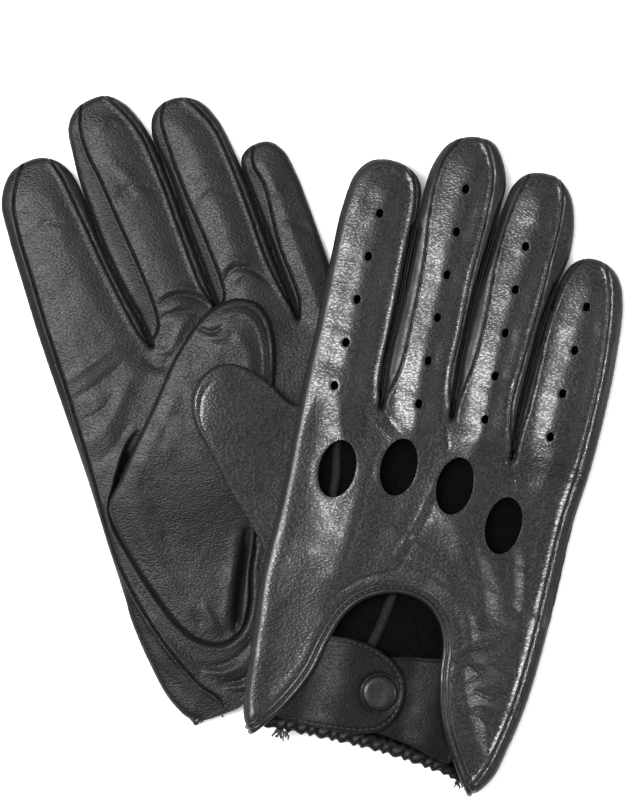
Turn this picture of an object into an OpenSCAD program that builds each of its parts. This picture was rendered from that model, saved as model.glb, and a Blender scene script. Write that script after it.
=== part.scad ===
// A pair of leather driving gloves, lying one on the other.
// The left glove lies flat with its palm up. The right glove leans on its edge with its back up.
// Each glove is drawn in its own pattern frame: +Y from the cuff to the fingertips, +X from the
// index side to the little side, z = 0 on the palm's outer face and z = glove height on the back's.

/* [Leather] */
// Thickness of the leather
leather_t = 0.9; // [0.8:0.05:0.9]
// Height of the left glove over both faces, pressed flat by the other one
left_h = 7; // [7:0.1:7.2]
// Height of the right glove over both faces
right_h = 9; // [9:0.1:9.4]
// Gap along a crease between pieces that move
crease_gap = 0.4; // [0.3:0.1:0.6]

/* [How the pair lies] */
// Turn of the left glove, from straight up, towards its index side
left_turn = 20; // [20:0.5:21]
// Turn of the right glove, from straight up, towards its little side
right_turn = 12; // [11:0.5:12]
// Lean of the right glove across its width, its index side up
right_lean = 3.9; // [3.8:0.1:4.0]
// Dip of the right glove along its length, its fingertips down
right_dip = 1.75; // [1.7:0.05:1.8]
// Height of the right glove's pattern origin above the table
right_lift = 9.7; // [9.7:0.1:10.5]

/* [Thumbs] */
// Height of the left thumb, folded over the palm
left_thumb_h = 6.2; // [6.2:0.1:6.3]
// Height of the right thumb
right_thumb_h = 7.4; // [7.2:0.1:7.6]
// Height of the right thumb's underside above the palm's outer face
right_thumb_z = 3.9; // [3.9:0.1:4.2]
// Space between the left palm and the left thumb on it
thumb_rest_gap = 0.3; // [0.3:0.05:0.4]

/* [Vents] */
// Radius of a small vent hole on the fingers
vent_r = 1.6; // [1.2:0.1:1.7]
// Width of a knuckle opening
knuckle_w = 13.8; // [12:0.2:15]
// Length of a knuckle opening
knuckle_l = 21; // [18:0.5:22]

/* [Wrist] */
// Width of the binding round the wrist arch
binding_w = 2.4; // [2:0.1:2.6]
// Depth of the binding
binding_t = 1.5; // [1.2:0.1:1.5]
// Radius of the strap's round end
strap_r = 14.4; // [13.5:0.1:14.6]
// Width of the hem's casing along the cuff
hem_w = 5; // [4.5:0.1:5.2]
// Height of the hem's casing
hem_h = 2.7; // [2.7:0.1:3]
// Distance between two gathers of the hem
gather_pitch = 4; // [3.5:0.1:4.5]
// Width of the elastic inside the hem
elastic_w = 3.2; // [2.6:0.1:3.4]
// Thickness of the elastic
elastic_t = 0.8; // [0.6:0.1:0.8]

/* [Snap] */
// Radius of the covered cap
cap_r = 6.3; // [5.8:0.1:6.5]
// Height of the cap's dome
cap_h = 1.6; // [1.3:0.1:1.6]
// Radius of the stud's head
stud_r = 2.3; // [2:0.05:2.35]
// Clear space between the stud's head and its socket
snap_play = 0.4; // [0.3:0.05:0.5]

/* [Hidden] */
$fn = 64;
LEATHER = "#26262a";
METAL = "#8d8f92";
ELASTIC = "#3a3a3c";

RIGHT = 0;
LEFT = 1;
INDEX = 0;
MIDDLE = 1;
RING = 2;
LITTLE = 3;
INNER = -1; // the side of a finger towards the index
OUTER = 1;  // the side of a finger towards the little finger

// where each glove's pattern origin, the middle of its cuff, stands on the table
RIGHT_AT = [17.1, -111.7];
LEFT_AT = [-5.2, -87.6];

// each finger: base centre, centre of the round tip, half width at the base, tip radius
FINGERS = [
    [
        [[-35, 124], [-34.8, 198.5], 13.9, 13.2],
        [[-7, 126], [-6.1, 212.3], 13.4, 13.7],
        [[19.3, 121], [21.2, 205.4], 12.3, 12.6],
        [[45.6, 115.5], [46.8, 179.5], 13.3, 12.9]
    ],
    [
        [[-27, 142.5], [-27.4, 196.8], 18, 15],
        [[5.4, 142.5], [4, 210], 13.2, 13.9],
        [[31.3, 142.5], [31.4, 202.3], 11.8, 11.9],
        [[53.5, 142.5], [53.9, 180], 8.9, 9.1]
    ]
];

// each finger's row of vent holes: how many, the first and the last
VENTS = [
    [
        [5, [-37.8, 128.5], [-34.8, 192]],
        [6, [-6.6, 128.6], [-6.2, 207]],
        [5, [17.4, 127.8], [19, 191.4]],
        [4, [42, 126.6], [44.8, 174.8]]
    ],
    [
        [5, [-30, 131], [-27, 195]],
        [6, [5, 131], [4, 210]],
        [5, [31, 131], [31, 194.6]],
        [4, [53, 131], [53.8, 178.7]]
    ]
];

// the middle of each knuckle opening
KNUCKLES = [
    [[-30.8, 99.7], [-9.3, 104.8], [11.9, 102.4], [32.1, 92.1]],
    [[-30, 112], [-8, 117], [13.5, 115], [34, 106]]
];

// the hand's two sides, from the finger creases to the cuff on the index side, and back up
INDEX_EDGE = [
    [[-48.3, 104], [-48.6, 85], [-49.2, 60], [-48, 37], [-46.8, 18], [-45.6, 9], [-42, 1.4], [-39.5, 0.5]],
    [[-45.2, 120], [-45.8, 96], [-47, 74], [-48, 48], [-47.1, 26.5], [-45.2, 13], [-41.5, 4], [-38.5, 1]]
];
LITTLE_EDGE = [
    [[38, -4], [42.6, -5], [48.3, 3.6], [50.4, 12.5], [53.9, 30], [55.6, 49], [56.4, 72], [56.8, 98]],
    [[38, -4], [42.6, -5], [48.3, 3.6], [50.4, 12.5], [53.9, 30], [55.6, 49], [57.2, 72], [60.4, 112]]
];

// outer edge of the binding round the wrist arch
ARCH = [
    [-42, 2], [-33, 13.5], [-26, 27], [-22.5, 40], [-19, 49.5], [-13.5, 56.5], [-5, 61.2], [4, 62.3],
    [12, 59.8], [18, 53.5], [21, 45.5], [21.8, 36.5], [24, 26], [28, 15.5], [35, 5.5], [41, -1]
];

// each thumb's outline from one end of its root crease to the other
THUMBS = [
    [
        [-49.8, 66.5], [-58, 75.8], [-69, 88], [-78, 98], [-83.2, 104.2], [-86.3, 111.5], [-86, 118.7],
        [-82.3, 125.2], [-76.4, 128.4], [-69, 128], [-60.5, 124.6], [-54, 120.6], [-49.8, 119]
    ],
    [
        [-34.7, 93.3], [-26.5, 102], [-14, 114.5], [-1, 128], [10, 136], [18, 139.8], [26.5, 140.2],
        [33, 135.8], [35.2, 129], [34, 120], [28, 104], [18, 83], [3.3, 55.3]
    ]
];

// the thumb's gusset in the palm
GUSSETS = [
    [
        [-46.5, 118], [-47.4, 92], [-46.5, 66], [-41, 48], [-31, 35.5], [-20.5, 33.5], [-12.5, 42],
        [-10.5, 58], [-16, 79], [-28, 101], [-40, 115]
    ],
    [
        [-35.2, 92.8], [-41, 86], [-42.4, 79.5], [-40.3, 64], [-37, 49.5], [-33, 37], [-28, 29.3],
        [-20, 25], [-12, 27.5], [-6, 35.5], [-1.6, 46.5], [2.8, 54.8]
    ]
];

// the strap's root crease beside the binding, and the middle of its round end
STRAP_ROOT = [[-29.6, 8.4], [-18.5, 39]];
SNAP_AT = [0.4, 24.6];
STRAP_END = [-4.7, 24.6];

// the under strap, and its thick end sewn below the binding on the arch's little side
STRAP_BASE = [[-11, 11], [-11, 37.6], [2, 38.2], [21.4, 39.5], [23.9, 27], [28, 15.5], [29.5, 12]];
STRAP_SEAM = [[19.2, 39.3], [21.4, 39.5], [23.9, 27], [28, 15.5], [29.5, 12], [27, 11.9], [21.6, 26]];

// ends of the hem's casing along the palm's cuff edge
HEM = [-36, 33];
HEM_TOP = 7.4;
BEYOND = 60; // further than anything that a cutting shape has to clear

glove_h = [right_h, left_h];
strap_sink = [0, cap_h + 0.1]; // the left snap is pressed in by the table
thumb_lo = [right_thumb_z, -thumb_rest_gap - left_thumb_h];
thumb_hi = [right_thumb_z + right_thumb_h, -thumb_rest_gap];

// levels of the strap and snap, down from the back's outer face
socket_h = 1.2;
socket_r = 5;
stud_flange_r = 4.8;
stud_flange_t = 0.25;
post_flange_r = 4.5;
post_flange_t = 0.4;
post_r = 1.2;
rivet_r = 1.45;
strap_gap = 1.7;
tab_level = leather_t;
base_level = 2 * leather_t + strap_gap;

// ---- helpers ----

// points along a smooth curve through p, with steps points for each stretch
function curve(p, steps = 3) = [
    for (i = [0 : len(p) - 2], k = [0 : steps - 1])
        let (
            u = k / steps,
            a = p[max(i - 1, 0)],
            b = p[i],
            c = p[i + 1],
            d = p[min(i + 2, len(p) - 1)]
        )
        (2 * b + (c - a) * u + (2 * a - 5 * b + 4 * c - d) * u * u
            + (3 * b - a - 3 * c + d) * u * u * u) / 2,
    p[len(p) - 1]
];

function finger_angle(f) = atan2(f[1][0] - f[0][0], f[1][1] - f[0][1]);
function finger_length(f) = norm(f[1] - f[0]);

// a corner of the hand below a finger's crease, on the inner or the outer side
function crease_corner(f, side) =
    let (a = finger_angle(f))
    f[0] + side * f[2] * [cos(a), -sin(a)] - crease_gap * [sin(a), cos(a)];

// places its children, drawn in a glove's pattern frame, on the table
module lay(g) {
    if (g == RIGHT)
        translate([RIGHT_AT[0], RIGHT_AT[1], right_lift])
            rotate([-right_dip, right_lean, -right_turn]) children();
    else
        translate([LEFT_AT[0], LEFT_AT[1], left_h])
            rotate([0, 0, left_turn]) mirror([0, 0, 1]) children();
}

// a flat layer between two levels
module layer(low, high) {
    translate([0, 0, low]) linear_extrude(high - low) children();
}

// a finger's outline, less an inset from its edge, and running on below its crease if asked
module finger_shape(f, inset = 0, below = 0) {
    length = finger_length(f);
    base = f[2] - inset;
    tip = f[3] - inset;
    round_tip = [for (a = [0 : 15 : 180]) [tip * cos(a), length + tip * sin(a)]];
    translate(f[0]) rotate(-finger_angle(f))
        polygon(concat([[-base, -below], [base, -below]], round_tip));
}

// the half of the plane on one side of a finger's middle line
module finger_half(f, side) {
    translate(f[0]) rotate(-finger_angle(f))
        translate([side > 0 ? 0 : -BEYOND, 0]) square([BEYOND, 3 * BEYOND]);
}

// a finger's side wall between the two faces, seen from above
module finger_wall(f, side) {
    intersection() {
        difference() {
            finger_shape(f);
            finger_shape(f, leather_t, below = 2);
        }
        finger_half(f, side);
    }
}

module vents(g, i) {
    row = VENTS[g][i];
    for (k = [0 : row[0] - 1])
        translate(row[1] + (row[2] - row[1]) * k / (row[0] - 1)) circle(r = vent_r);
}

module knuckle(at) {
    translate(at)
        polygon([for (a = [0 : 12 : 348]) [knuckle_w / 2 * cos(a), knuckle_l / 2 * sin(a)]]);
}

// the whole hand's outline, from the finger creases to the cuff
module hand_shape(g) {
    creases = [for (i = [LITTLE : -1 : INDEX], side = [OUTER, INNER]) crease_corner(FINGERS[g][i], side)];
    polygon(concat(curve(INDEX_EDGE[g], 2), curve(LITTLE_EDGE[g], 2), creases));
}

// the hand's side wall on one side, seen from above
module hand_wall(g, side) {
    intersection() {
        difference() {
            hand_shape(g);
            offset(delta = -leather_t) hand_shape(g);
        }
        if (side == INNER) polygon([[-BEYOND, 9], [-40, 9], [-40, 121], [-BEYOND, 121]]);
        else polygon([[44, 9], [2 * BEYOND, 9], [2 * BEYOND, 112], [50, 112]]);
    }
}

module arch_shape() {
    polygon(concat([[-42, -BEYOND]], curve(ARCH), [[41, -BEYOND]]));
}

module thumb_shape(g) {
    polygon(curve(THUMBS[g]));
}

// the half of a thumb on one side of the line from the middle of its root to its tip
module thumb_half(g, side) {
    p = THUMBS[g];
    n = len(p) - 1;
    root = (p[0] + p[n]) / 2;
    tip = p[g == RIGHT ? 6 : 7];
    along = (tip - root) / norm(tip - root);
    across = side * [-along[1], along[0]];
    polygon([
        root - BEYOND * along,
        root + 2 * BEYOND * along,
        root + 2 * BEYOND * (along + across),
        root + BEYOND * (2 * across - along)
    ]);
}

// a thumb's side wall, open along the root crease
module thumb_wall(g, side) {
    p = THUMBS[g];
    n = len(p) - 1;
    inward = (p[0] - p[n]) / norm(p[0] - p[n]);
    back = 2 * [inward[1], -inward[0]];
    intersection() {
        difference() {
            thumb_shape(g);
            offset(delta = -leather_t) thumb_shape(g);
            polygon([
                p[0] - leather_t * inward + back, p[n] + leather_t * inward + back,
                p[n] + leather_t * inward - back, p[0] - leather_t * inward - back
            ]);
        }
        thumb_half(g, side);
    }
}

module gusset_shape(g) {
    polygon(curve(GUSSETS[g]));
}

module strap_shape() {
    polygon([STRAP_ROOT[0], [STRAP_END[0], STRAP_END[1] - strap_r],
             [STRAP_END[0], STRAP_END[1] + strap_r], STRAP_ROOT[1]]);
    translate(STRAP_END) circle(r = strap_r);
}

module snap_disc(r, low, high) {
    translate([SNAP_AT[0], SNAP_AT[1], low]) cylinder(r = r, h = high - low);
}

// ---- fingers ----

// the back of a finger; the index's back also wraps round its free side
module finger_back(g, i) {
    f = FINGERS[g][i];
    h = glove_h[g];
    color(LEATHER) lay(g) {
        layer(h - leather_t, h) difference() {
            finger_shape(f);
            vents(g, i);
        }
        if (i == INDEX) layer(leather_t, h - leather_t) finger_wall(f, INNER);
    }
}

// the palm side of a finger; the little finger's also wraps round its free side
module finger_palm(g, i) {
    f = FINGERS[g][i];
    color(LEATHER) lay(g) {
        layer(0, leather_t) finger_shape(f);
        if (i == LITTLE) layer(leather_t, glove_h[g] - leather_t) finger_wall(f, OUTER);
    }
}

// the strip sewn between a finger's back and palm on a side that faces another finger
module fourchette(g, i, side) {
    color(LEATHER) lay(g)
        layer(leather_t, glove_h[g] - leather_t) finger_wall(FINGERS[g][i], side);
}

// ---- hand ----

module hand_back(g) {
    h = glove_h[g];
    color(LEATHER) lay(g) {
        layer(h - leather_t, h) difference() {
            hand_shape(g);
            arch_shape();
            for (i = [INDEX : LITTLE]) vents(g, i);
            for (at = KNUCKLES[g]) knuckle(at);
        }
        layer(leather_t, h - leather_t) difference() {
            hand_wall(g, INNER);
            // the thumb comes out through the side of the right glove
            if (g == RIGHT) translate([-BEYOND, 68]) square([BEYOND, 49]);
        }
    }
}

module hand_palm(g) {
    color(LEATHER) lay(g) {
        layer(0, leather_t) difference() {
            hand_shape(g);
            translate([HEM[0], HEM_TOP - BEYOND]) square([HEM[1] - HEM[0], BEYOND]);
            if (g == RIGHT) gusset_shape(g);
            else offset(delta = -leather_t) gusset_shape(g);
        }
        layer(leather_t, glove_h[g] - leather_t) hand_wall(g, OUTER);
    }
}

// the thumb's root in the palm: flush under the right hand, raised over the left palm
module thumb_gusset(g) {
    p = GUSSETS[g];
    root = p[len(p) - 1] - p[0];
    mouth = 2 * [root[1], -root[0]] / norm(root);
    color(LEATHER) lay(g) {
        if (g == RIGHT) layer(0, leather_t) gusset_shape(g);
        else {
            low = thumb_lo[g];
            layer(low, low + leather_t) gusset_shape(g);
            layer(low + leather_t, 0) difference() {
                gusset_shape(g);
                offset(delta = -leather_t) gusset_shape(g);
                polygon([
                    p[0] + 0.02 * root - mouth, p[0] + 0.98 * root - mouth,
                    p[0] + 0.98 * root + mouth, p[0] + 0.02 * root + mouth
                ]);
            }
        }
    }
}

module thumb_front(g) {
    low = thumb_lo[g];
    color(LEATHER) lay(g) {
        layer(low, low + leather_t) thumb_shape(g);
        layer(low + leather_t, thumb_hi[g] - leather_t) thumb_wall(g, INNER);
    }
}

module thumb_back(g) {
    high = thumb_hi[g];
    color(LEATHER) lay(g) {
        layer(high - leather_t, high) thumb_shape(g);
        layer(thumb_lo[g] + leather_t, high - leather_t) thumb_wall(g, OUTER);
    }
}

// ---- wrist ----

module arch_binding(g) {
    h = glove_h[g];
    color(LEATHER) lay(g)
        layer(h - binding_t, h) intersection() {
            difference() {
                arch_shape();
                offset(delta = -binding_w) arch_shape();
            }
            hand_shape(g);
        }
}

module strap_tab(g) {
    top = glove_h[g] - strap_sink[g];
    color(LEATHER) lay(g)
        layer(top - leather_t, top) difference() {
            strap_shape();
            translate(SNAP_AT) circle(r = rivet_r);
        }
}

module strap_base(g) {
    top = glove_h[g] - strap_sink[g] - base_level + leather_t;
    color(LEATHER) lay(g) {
        layer(top - leather_t, top) difference() {
            polygon(STRAP_BASE);
            translate(SNAP_AT) circle(r = post_r);
        }
        layer(top, glove_h[g] - binding_t) polygon(STRAP_SEAM);
    }
}

module snap_cap(g) {
    top = glove_h[g] - strap_sink[g];
    dome = [for (a = [0 : 15 : 90]) [cap_r * cos(a), cap_h * sin(a)]];
    color(LEATHER) lay(g) {
        translate([SNAP_AT[0], SNAP_AT[1], top]) rotate_extrude() polygon(concat([[0, 0]], dome));
        snap_disc(rivet_r, top - leather_t, top);
    }
}

module snap_socket(g) {
    top = glove_h[g] - strap_sink[g] - tab_level;
    color(METAL) lay(g) difference() {
        snap_disc(socket_r, top - socket_h, top);
        snap_disc(stud_r + snap_play, top - socket_h - 1, top + 1);
    }
}

module snap_stud(g) {
    bottom = glove_h[g] - strap_sink[g] - base_level + leather_t;
    head_top = bottom + strap_gap - 0.3;
    color(METAL) lay(g) difference() {
        union() {
            snap_disc(stud_flange_r, bottom, bottom + stud_flange_t);
            snap_disc(stud_r, bottom, head_top);
        }
        snap_disc(post_r, bottom - 1, head_top - 0.5);
    }
}

module snap_post(g) {
    base = glove_h[g] - strap_sink[g] - base_level;
    color(METAL) lay(g) {
        snap_disc(post_flange_r, base - post_flange_t, base);
        snap_disc(post_r, base, base + leather_t + strap_gap - 0.8);
    }
}

// ---- hem ----

module elastic_shape() {
    translate([HEM[0] + 1.5, HEM_TOP - (hem_w + elastic_w) / 2])
        square([HEM[1] - HEM[0] - 3, elastic_w]);
}

// the gathered tube along the palm's cuff edge, folded round the elastic
module hem_casing(g) {
    beads = floor((HEM[1] - HEM[0]) / gather_pitch);
    middle = hem_h / 2;
    color(LEATHER) lay(g) difference() {
        layer(0, hem_h) {
            translate([HEM[0], HEM_TOP - hem_w]) square([HEM[1] - HEM[0], hem_w]);
            for (k = [0 : beads - 1])
                translate([HEM[0] + (k + 0.5) * gather_pitch, HEM_TOP - hem_w])
                    circle(r = gather_pitch / 2);
        }
        layer(middle - elastic_t / 2, middle + elastic_t / 2) elastic_shape();
    }
}

module elastic_band(g) {
    middle = hem_h / 2;
    color(ELASTIC) lay(g) layer(middle - elastic_t / 2, middle + elastic_t / 2) elastic_shape();
}

// ---- the right glove ----
finger_back(RIGHT, INDEX);  // right_index_back
finger_palm(RIGHT, INDEX);  // right_index_palm
fourchette(RIGHT, INDEX, OUTER);  // right_index_fourchette
finger_back(RIGHT, MIDDLE);  // right_middle_back
finger_palm(RIGHT, MIDDLE);  // right_middle_palm
fourchette(RIGHT, MIDDLE, INNER);  // right_middle_inner_fourchette
fourchette(RIGHT, MIDDLE, OUTER);  // right_middle_outer_fourchette
finger_back(RIGHT, RING);  // right_ring_back
finger_palm(RIGHT, RING);  // right_ring_palm
fourchette(RIGHT, RING, INNER);  // right_ring_inner_fourchette
fourchette(RIGHT, RING, OUTER);  // right_ring_outer_fourchette
finger_back(RIGHT, LITTLE);  // right_little_back
finger_palm(RIGHT, LITTLE);  // right_little_palm
fourchette(RIGHT, LITTLE, INNER);  // right_little_fourchette
hand_back(RIGHT);  // right_hand_back
hand_palm(RIGHT);  // right_hand_palm
thumb_gusset(RIGHT);  // right_thumb_gusset
thumb_front(RIGHT);  // right_thumb_front
thumb_back(RIGHT);  // right_thumb_back
arch_binding(RIGHT);  // right_arch_binding
strap_tab(RIGHT);  // right_strap_tab
strap_base(RIGHT);  // right_strap_base
snap_cap(RIGHT);  // right_snap_cap
snap_socket(RIGHT);  // right_snap_socket
snap_stud(RIGHT);  // right_snap_stud
snap_post(RIGHT);  // right_snap_post
hem_casing(RIGHT);  // right_hem_casing
elastic_band(RIGHT);  // right_elastic_band

// ---- the left glove ----
finger_back(LEFT, INDEX);  // left_index_back
finger_palm(LEFT, INDEX);  // left_index_palm
fourchette(LEFT, INDEX, OUTER);  // left_index_fourchette
finger_back(LEFT, MIDDLE);  // left_middle_back
finger_palm(LEFT, MIDDLE);  // left_middle_palm
fourchette(LEFT, MIDDLE, INNER);  // left_middle_inner_fourchette
fourchette(LEFT, MIDDLE, OUTER);  // left_middle_outer_fourchette
finger_back(LEFT, RING);  // left_ring_back
finger_palm(LEFT, RING);  // left_ring_palm
fourchette(LEFT, RING, INNER);  // left_ring_inner_fourchette
fourchette(LEFT, RING, OUTER);  // left_ring_outer_fourchette
finger_back(LEFT, LITTLE);  // left_little_back
finger_palm(LEFT, LITTLE);  // left_little_palm
fourchette(LEFT, LITTLE, INNER);  // left_little_fourchette
hand_back(LEFT);  // left_hand_back
hand_palm(LEFT);  // left_hand_palm
thumb_gusset(LEFT);  // left_thumb_gusset
thumb_front(LEFT);  // left_thumb_front
thumb_back(LEFT);  // left_thumb_back
arch_binding(LEFT);  // left_arch_binding
strap_tab(LEFT);  // left_strap_tab
strap_base(LEFT);  // left_strap_base
snap_cap(LEFT);  // left_snap_cap
snap_socket(LEFT);  // left_snap_socket
snap_stud(LEFT);  // left_snap_stud
snap_post(LEFT);  // left_snap_post
hem_casing(LEFT);  // left_hem_casing
elastic_band(LEFT);  // left_elastic_band
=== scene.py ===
import math

import bpy
import numpy as np
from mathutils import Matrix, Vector, kdtree
from mathutils.geometry import delaunay_2d_cdt


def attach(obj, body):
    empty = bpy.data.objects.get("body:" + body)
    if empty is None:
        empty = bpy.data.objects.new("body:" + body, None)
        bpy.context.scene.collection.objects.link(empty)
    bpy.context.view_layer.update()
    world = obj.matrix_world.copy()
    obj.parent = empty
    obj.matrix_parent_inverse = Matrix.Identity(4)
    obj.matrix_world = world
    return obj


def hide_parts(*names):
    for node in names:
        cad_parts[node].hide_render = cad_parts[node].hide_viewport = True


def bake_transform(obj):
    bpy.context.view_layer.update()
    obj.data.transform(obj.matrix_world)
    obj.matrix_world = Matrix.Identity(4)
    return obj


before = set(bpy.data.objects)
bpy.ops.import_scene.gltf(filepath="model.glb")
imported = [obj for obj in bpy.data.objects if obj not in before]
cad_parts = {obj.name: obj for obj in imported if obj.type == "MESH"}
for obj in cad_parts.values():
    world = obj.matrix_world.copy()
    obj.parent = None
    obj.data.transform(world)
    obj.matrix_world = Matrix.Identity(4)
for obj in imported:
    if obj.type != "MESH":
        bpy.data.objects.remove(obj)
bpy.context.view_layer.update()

# ---------------------------------------------------------------- units and placing
# Each glove is made in its own pattern space, in millimetres: x from the index side to the
# little side, y from the cuff to the fingertips, z from the palm's face to the back's face.

MM = 0.001
LEATHER = 0.9            # thickness of the gloves' leather
THUMB_LEATHER = 0.6
LINE_STEP = 0.3          # spacing of the points that a Line keeps
FINE_FOLD = 2.0          # folds narrower than this get their own rows of points
DEEP_FOLD = -1.5         # a thumb's folds that are deeper than this get painted shade inside
FINGER_BEND, THUMB_BEND = 13, 16  # lengths passed to bend_at as the reach of each root's bend
BEND_GAP = 0.3           # from the cut to where the bend begins
UP = np.array([0.0, 0, 1])


def turn(axis, degrees):
    """Rotation matrix about one axis."""
    c, s = math.cos(math.radians(degrees)), math.sin(math.radians(degrees))
    rows = {
        "x": [[1, 0, 0], [0, c, -s], [0, s, c]],
        "y": [[c, 0, s], [0, 1, 0], [-s, 0, c]],
        "z": [[c, -s, 0], [s, c, 0], [0, 0, 1]],
    }
    return np.array(rows[axis])


class Glove:
    """Where one glove lies, how thick it is and which of its faces is up."""

    def __init__(self, name, matrix, offset, height, border, up):
        self.name = name
        self.matrix = matrix
        self.offset = np.array(offset, float)
        self.height = height
        self.border = border
        self.up = up
        self.mirrored = np.linalg.det(matrix) < 0

    def world(self, points):
        """Pattern millimetres to metres in the shared frame."""
        return (np.atleast_2d(points) @ self.matrix.T + self.offset) * MM


RIGHT = Glove(
    "right",
    turn("z", -12) @ turn("y", 3.9) @ turn("x", -1.75),
    (17.1, -111.7, 9.7), 9.0, 3.6, "back",
)
LEFT = Glove(
    "left",
    turn("z", 20) @ np.diag([1, 1, -1]),
    (-5.2, -87.6, 7.0), 7.0, 4.0, "palm",
)


# ---------------------------------------------------------------- curves
def smooth(points, step=1.0, closed=False):
    """A centripetal spline through the points, sampled about every step millimetres."""
    p = np.array(points, float)
    if closed:
        p = np.vstack([p[-1], p, p[0], p[1]])
    else:
        p = np.vstack([2 * p[0] - p[1], p, 2 * p[-1] - p[-2]])
    out = []
    for a, b, c, d in zip(p[:-3], p[1:-2], p[2:-1], p[3:]):
        t1, t2, t3 = (math.sqrt(np.linalg.norm(v)) + 1e-9 for v in (b - a, c - b, d - c))
        m1 = (c - b) + t2 * ((b - a) / t1 - (c - a) / (t1 + t2))
        m2 = (c - b) + t2 * ((d - c) / t3 - (d - b) / (t2 + t3))
        count = max(1, int(round(np.linalg.norm(c - b) / step)))
        t = (np.arange(count) / count)[:, None]
        out.append(
            (2 * t**3 - 3 * t**2 + 1) * b + (t**3 - 2 * t**2 + t) * m1
            + (3 * t**2 - 2 * t**3) * c + (t**3 - t**2) * m2
        )
    if not closed:
        out.append(p[-2][None])
    return np.vstack(out)


def resample(points, step, closed=False):
    """Even steps along a polyline."""
    p = np.array(points, float)
    if closed:
        p = np.vstack([p, p[0]])
    run = np.concatenate([[0], np.cumsum(np.linalg.norm(np.diff(p, axis=0), axis=1))])
    count = max(2, int(round(run[-1] / step)) + 1)
    at = np.linspace(0, run[-1], count)
    q = np.stack([np.interp(at, run, p[:, k]) for k in range(p.shape[1])], axis=1)
    return q[:-1] if closed else q


def tree_of(points):
    """Search tree over flat points."""
    tree = kdtree.KDTree(len(points))
    for k, (x, y) in enumerate(points):
        tree.insert((x, y, 0), k)
    tree.balance()
    return tree


class Line:
    """A polyline that answers how far points are from it, on which side, and how far along."""

    def __init__(self, points, closed=False):
        p = resample(points, LINE_STEP, closed)
        ahead = np.roll(p, -1, axis=0) - np.roll(p, 1, axis=0)
        if not closed:
            ahead[0], ahead[-1] = p[1] - p[0], p[-1] - p[-2]
        self.points = p
        self.ahead = ahead / np.linalg.norm(ahead, axis=1)[:, None]
        self.low, self.high = p.min(axis=0), p.max(axis=0)
        self.tree = tree_of(p)

    def near(self, xy, reach=1e9):
        """Distance, share along the line and side: 1 on its left, -1 on its right."""
        far = np.full(len(xy), 1e3)
        share = np.zeros(len(xy))
        side = np.ones(len(xy))
        close = np.all((xy > self.low - reach) & (xy < self.high + reach), axis=1)
        for k in np.flatnonzero(close):
            _, n, dist = self.tree.find((xy[k, 0], xy[k, 1], 0))
            far[k] = dist
            share[k] = n / (len(self.points) - 1)
            off = xy[k] - self.points[n]
            side[k] = 1 if self.ahead[n, 0] * off[1] - self.ahead[n, 1] * off[0] > 0 else -1
        return far, share, side

    def row(self, offset, step):
        """Points beside the line, about every step millimetres."""
        every = max(1, int(round(step / LINE_STEP)))
        p, a = self.points[::every], self.ahead[::every]
        return p + offset * np.stack([-a[:, 1], a[:, 0]], axis=1)

    def rows(self, offsets, step, sides=(1, -1)):
        """A row at each offset, on the sides that are given."""
        return [self.row(side * off, step) for off in offsets for side in sides]


def inside(xy, loop):
    """Which points lie inside a closed polygon."""
    result = np.zeros(len(xy), bool)
    loop = np.asarray(loop, float)
    box = np.all((xy >= loop.min(axis=0)) & (xy <= loop.max(axis=0)), axis=1)
    who = np.flatnonzero(box)
    x1, y1 = loop.T
    x2, y2 = np.roll(loop, -1, axis=0).T
    flat = np.where(np.abs(y2 - y1) < 1e-12, 1e-12, y2 - y1)
    for part in np.array_split(who, max(1, len(who) // 3000)):
        px, py = xy[part, 0][:, None], xy[part, 1][:, None]
        crossing = (y1 > py) != (y2 > py)
        hit = px < (x2 - x1) * (py - y1) / flat + x1
        result[part] = (crossing & hit).sum(axis=1) % 2 == 1
    return result


def ease(value, low, high):
    """Smooth step from 0 at low to 1 at high."""
    t = np.clip((value - low) / (high - low), 0, 1)
    return t * t * (3 - 2 * t)


def swell(far, wide):
    """Parabolic rise from 0 at an edge to 1 at a distance wide from it."""
    return 1 - (1 - np.minimum(far / wide, 1)) ** 2


def rounded(far, wide):
    """Quarter-circle rise from 0 at an edge to 1 at a distance wide from it."""
    return np.sqrt(swell(far, wide))


def noise(xy, size, seed):
    """Smooth random heights from -1 to 1 on a grid that each seed turns another way."""
    table = np.random.default_rng(seed).uniform(-1, 1, (64, 64))
    p = xy @ turn("z", 37 * seed + 20)[:2, :2] / size
    i = np.floor(p).astype(int)
    f = p - i
    u = f * f * (3 - 2 * f)
    i0, i1 = i % 64, (i + 1) % 64
    low = table[i0[:, 0], i0[:, 1]] * (1 - u[:, 0]) + table[i1[:, 0], i0[:, 1]] * u[:, 0]
    high = table[i0[:, 0], i1[:, 1]] * (1 - u[:, 0]) + table[i1[:, 0], i1[:, 1]] * u[:, 0]
    return low * (1 - u[:, 1]) + high * u[:, 1]


def bump(far, width):
    """A soft ridge that is 1 on a line and fades over its width."""
    return np.exp(-((far / width) ** 2))


def fade_ends(share, power=0.6):
    """1 along the middle of a line and 0 at its two ends."""
    return np.clip(np.sin(math.pi * np.clip(share, 0, 1)), 0, 1) ** power


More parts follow.
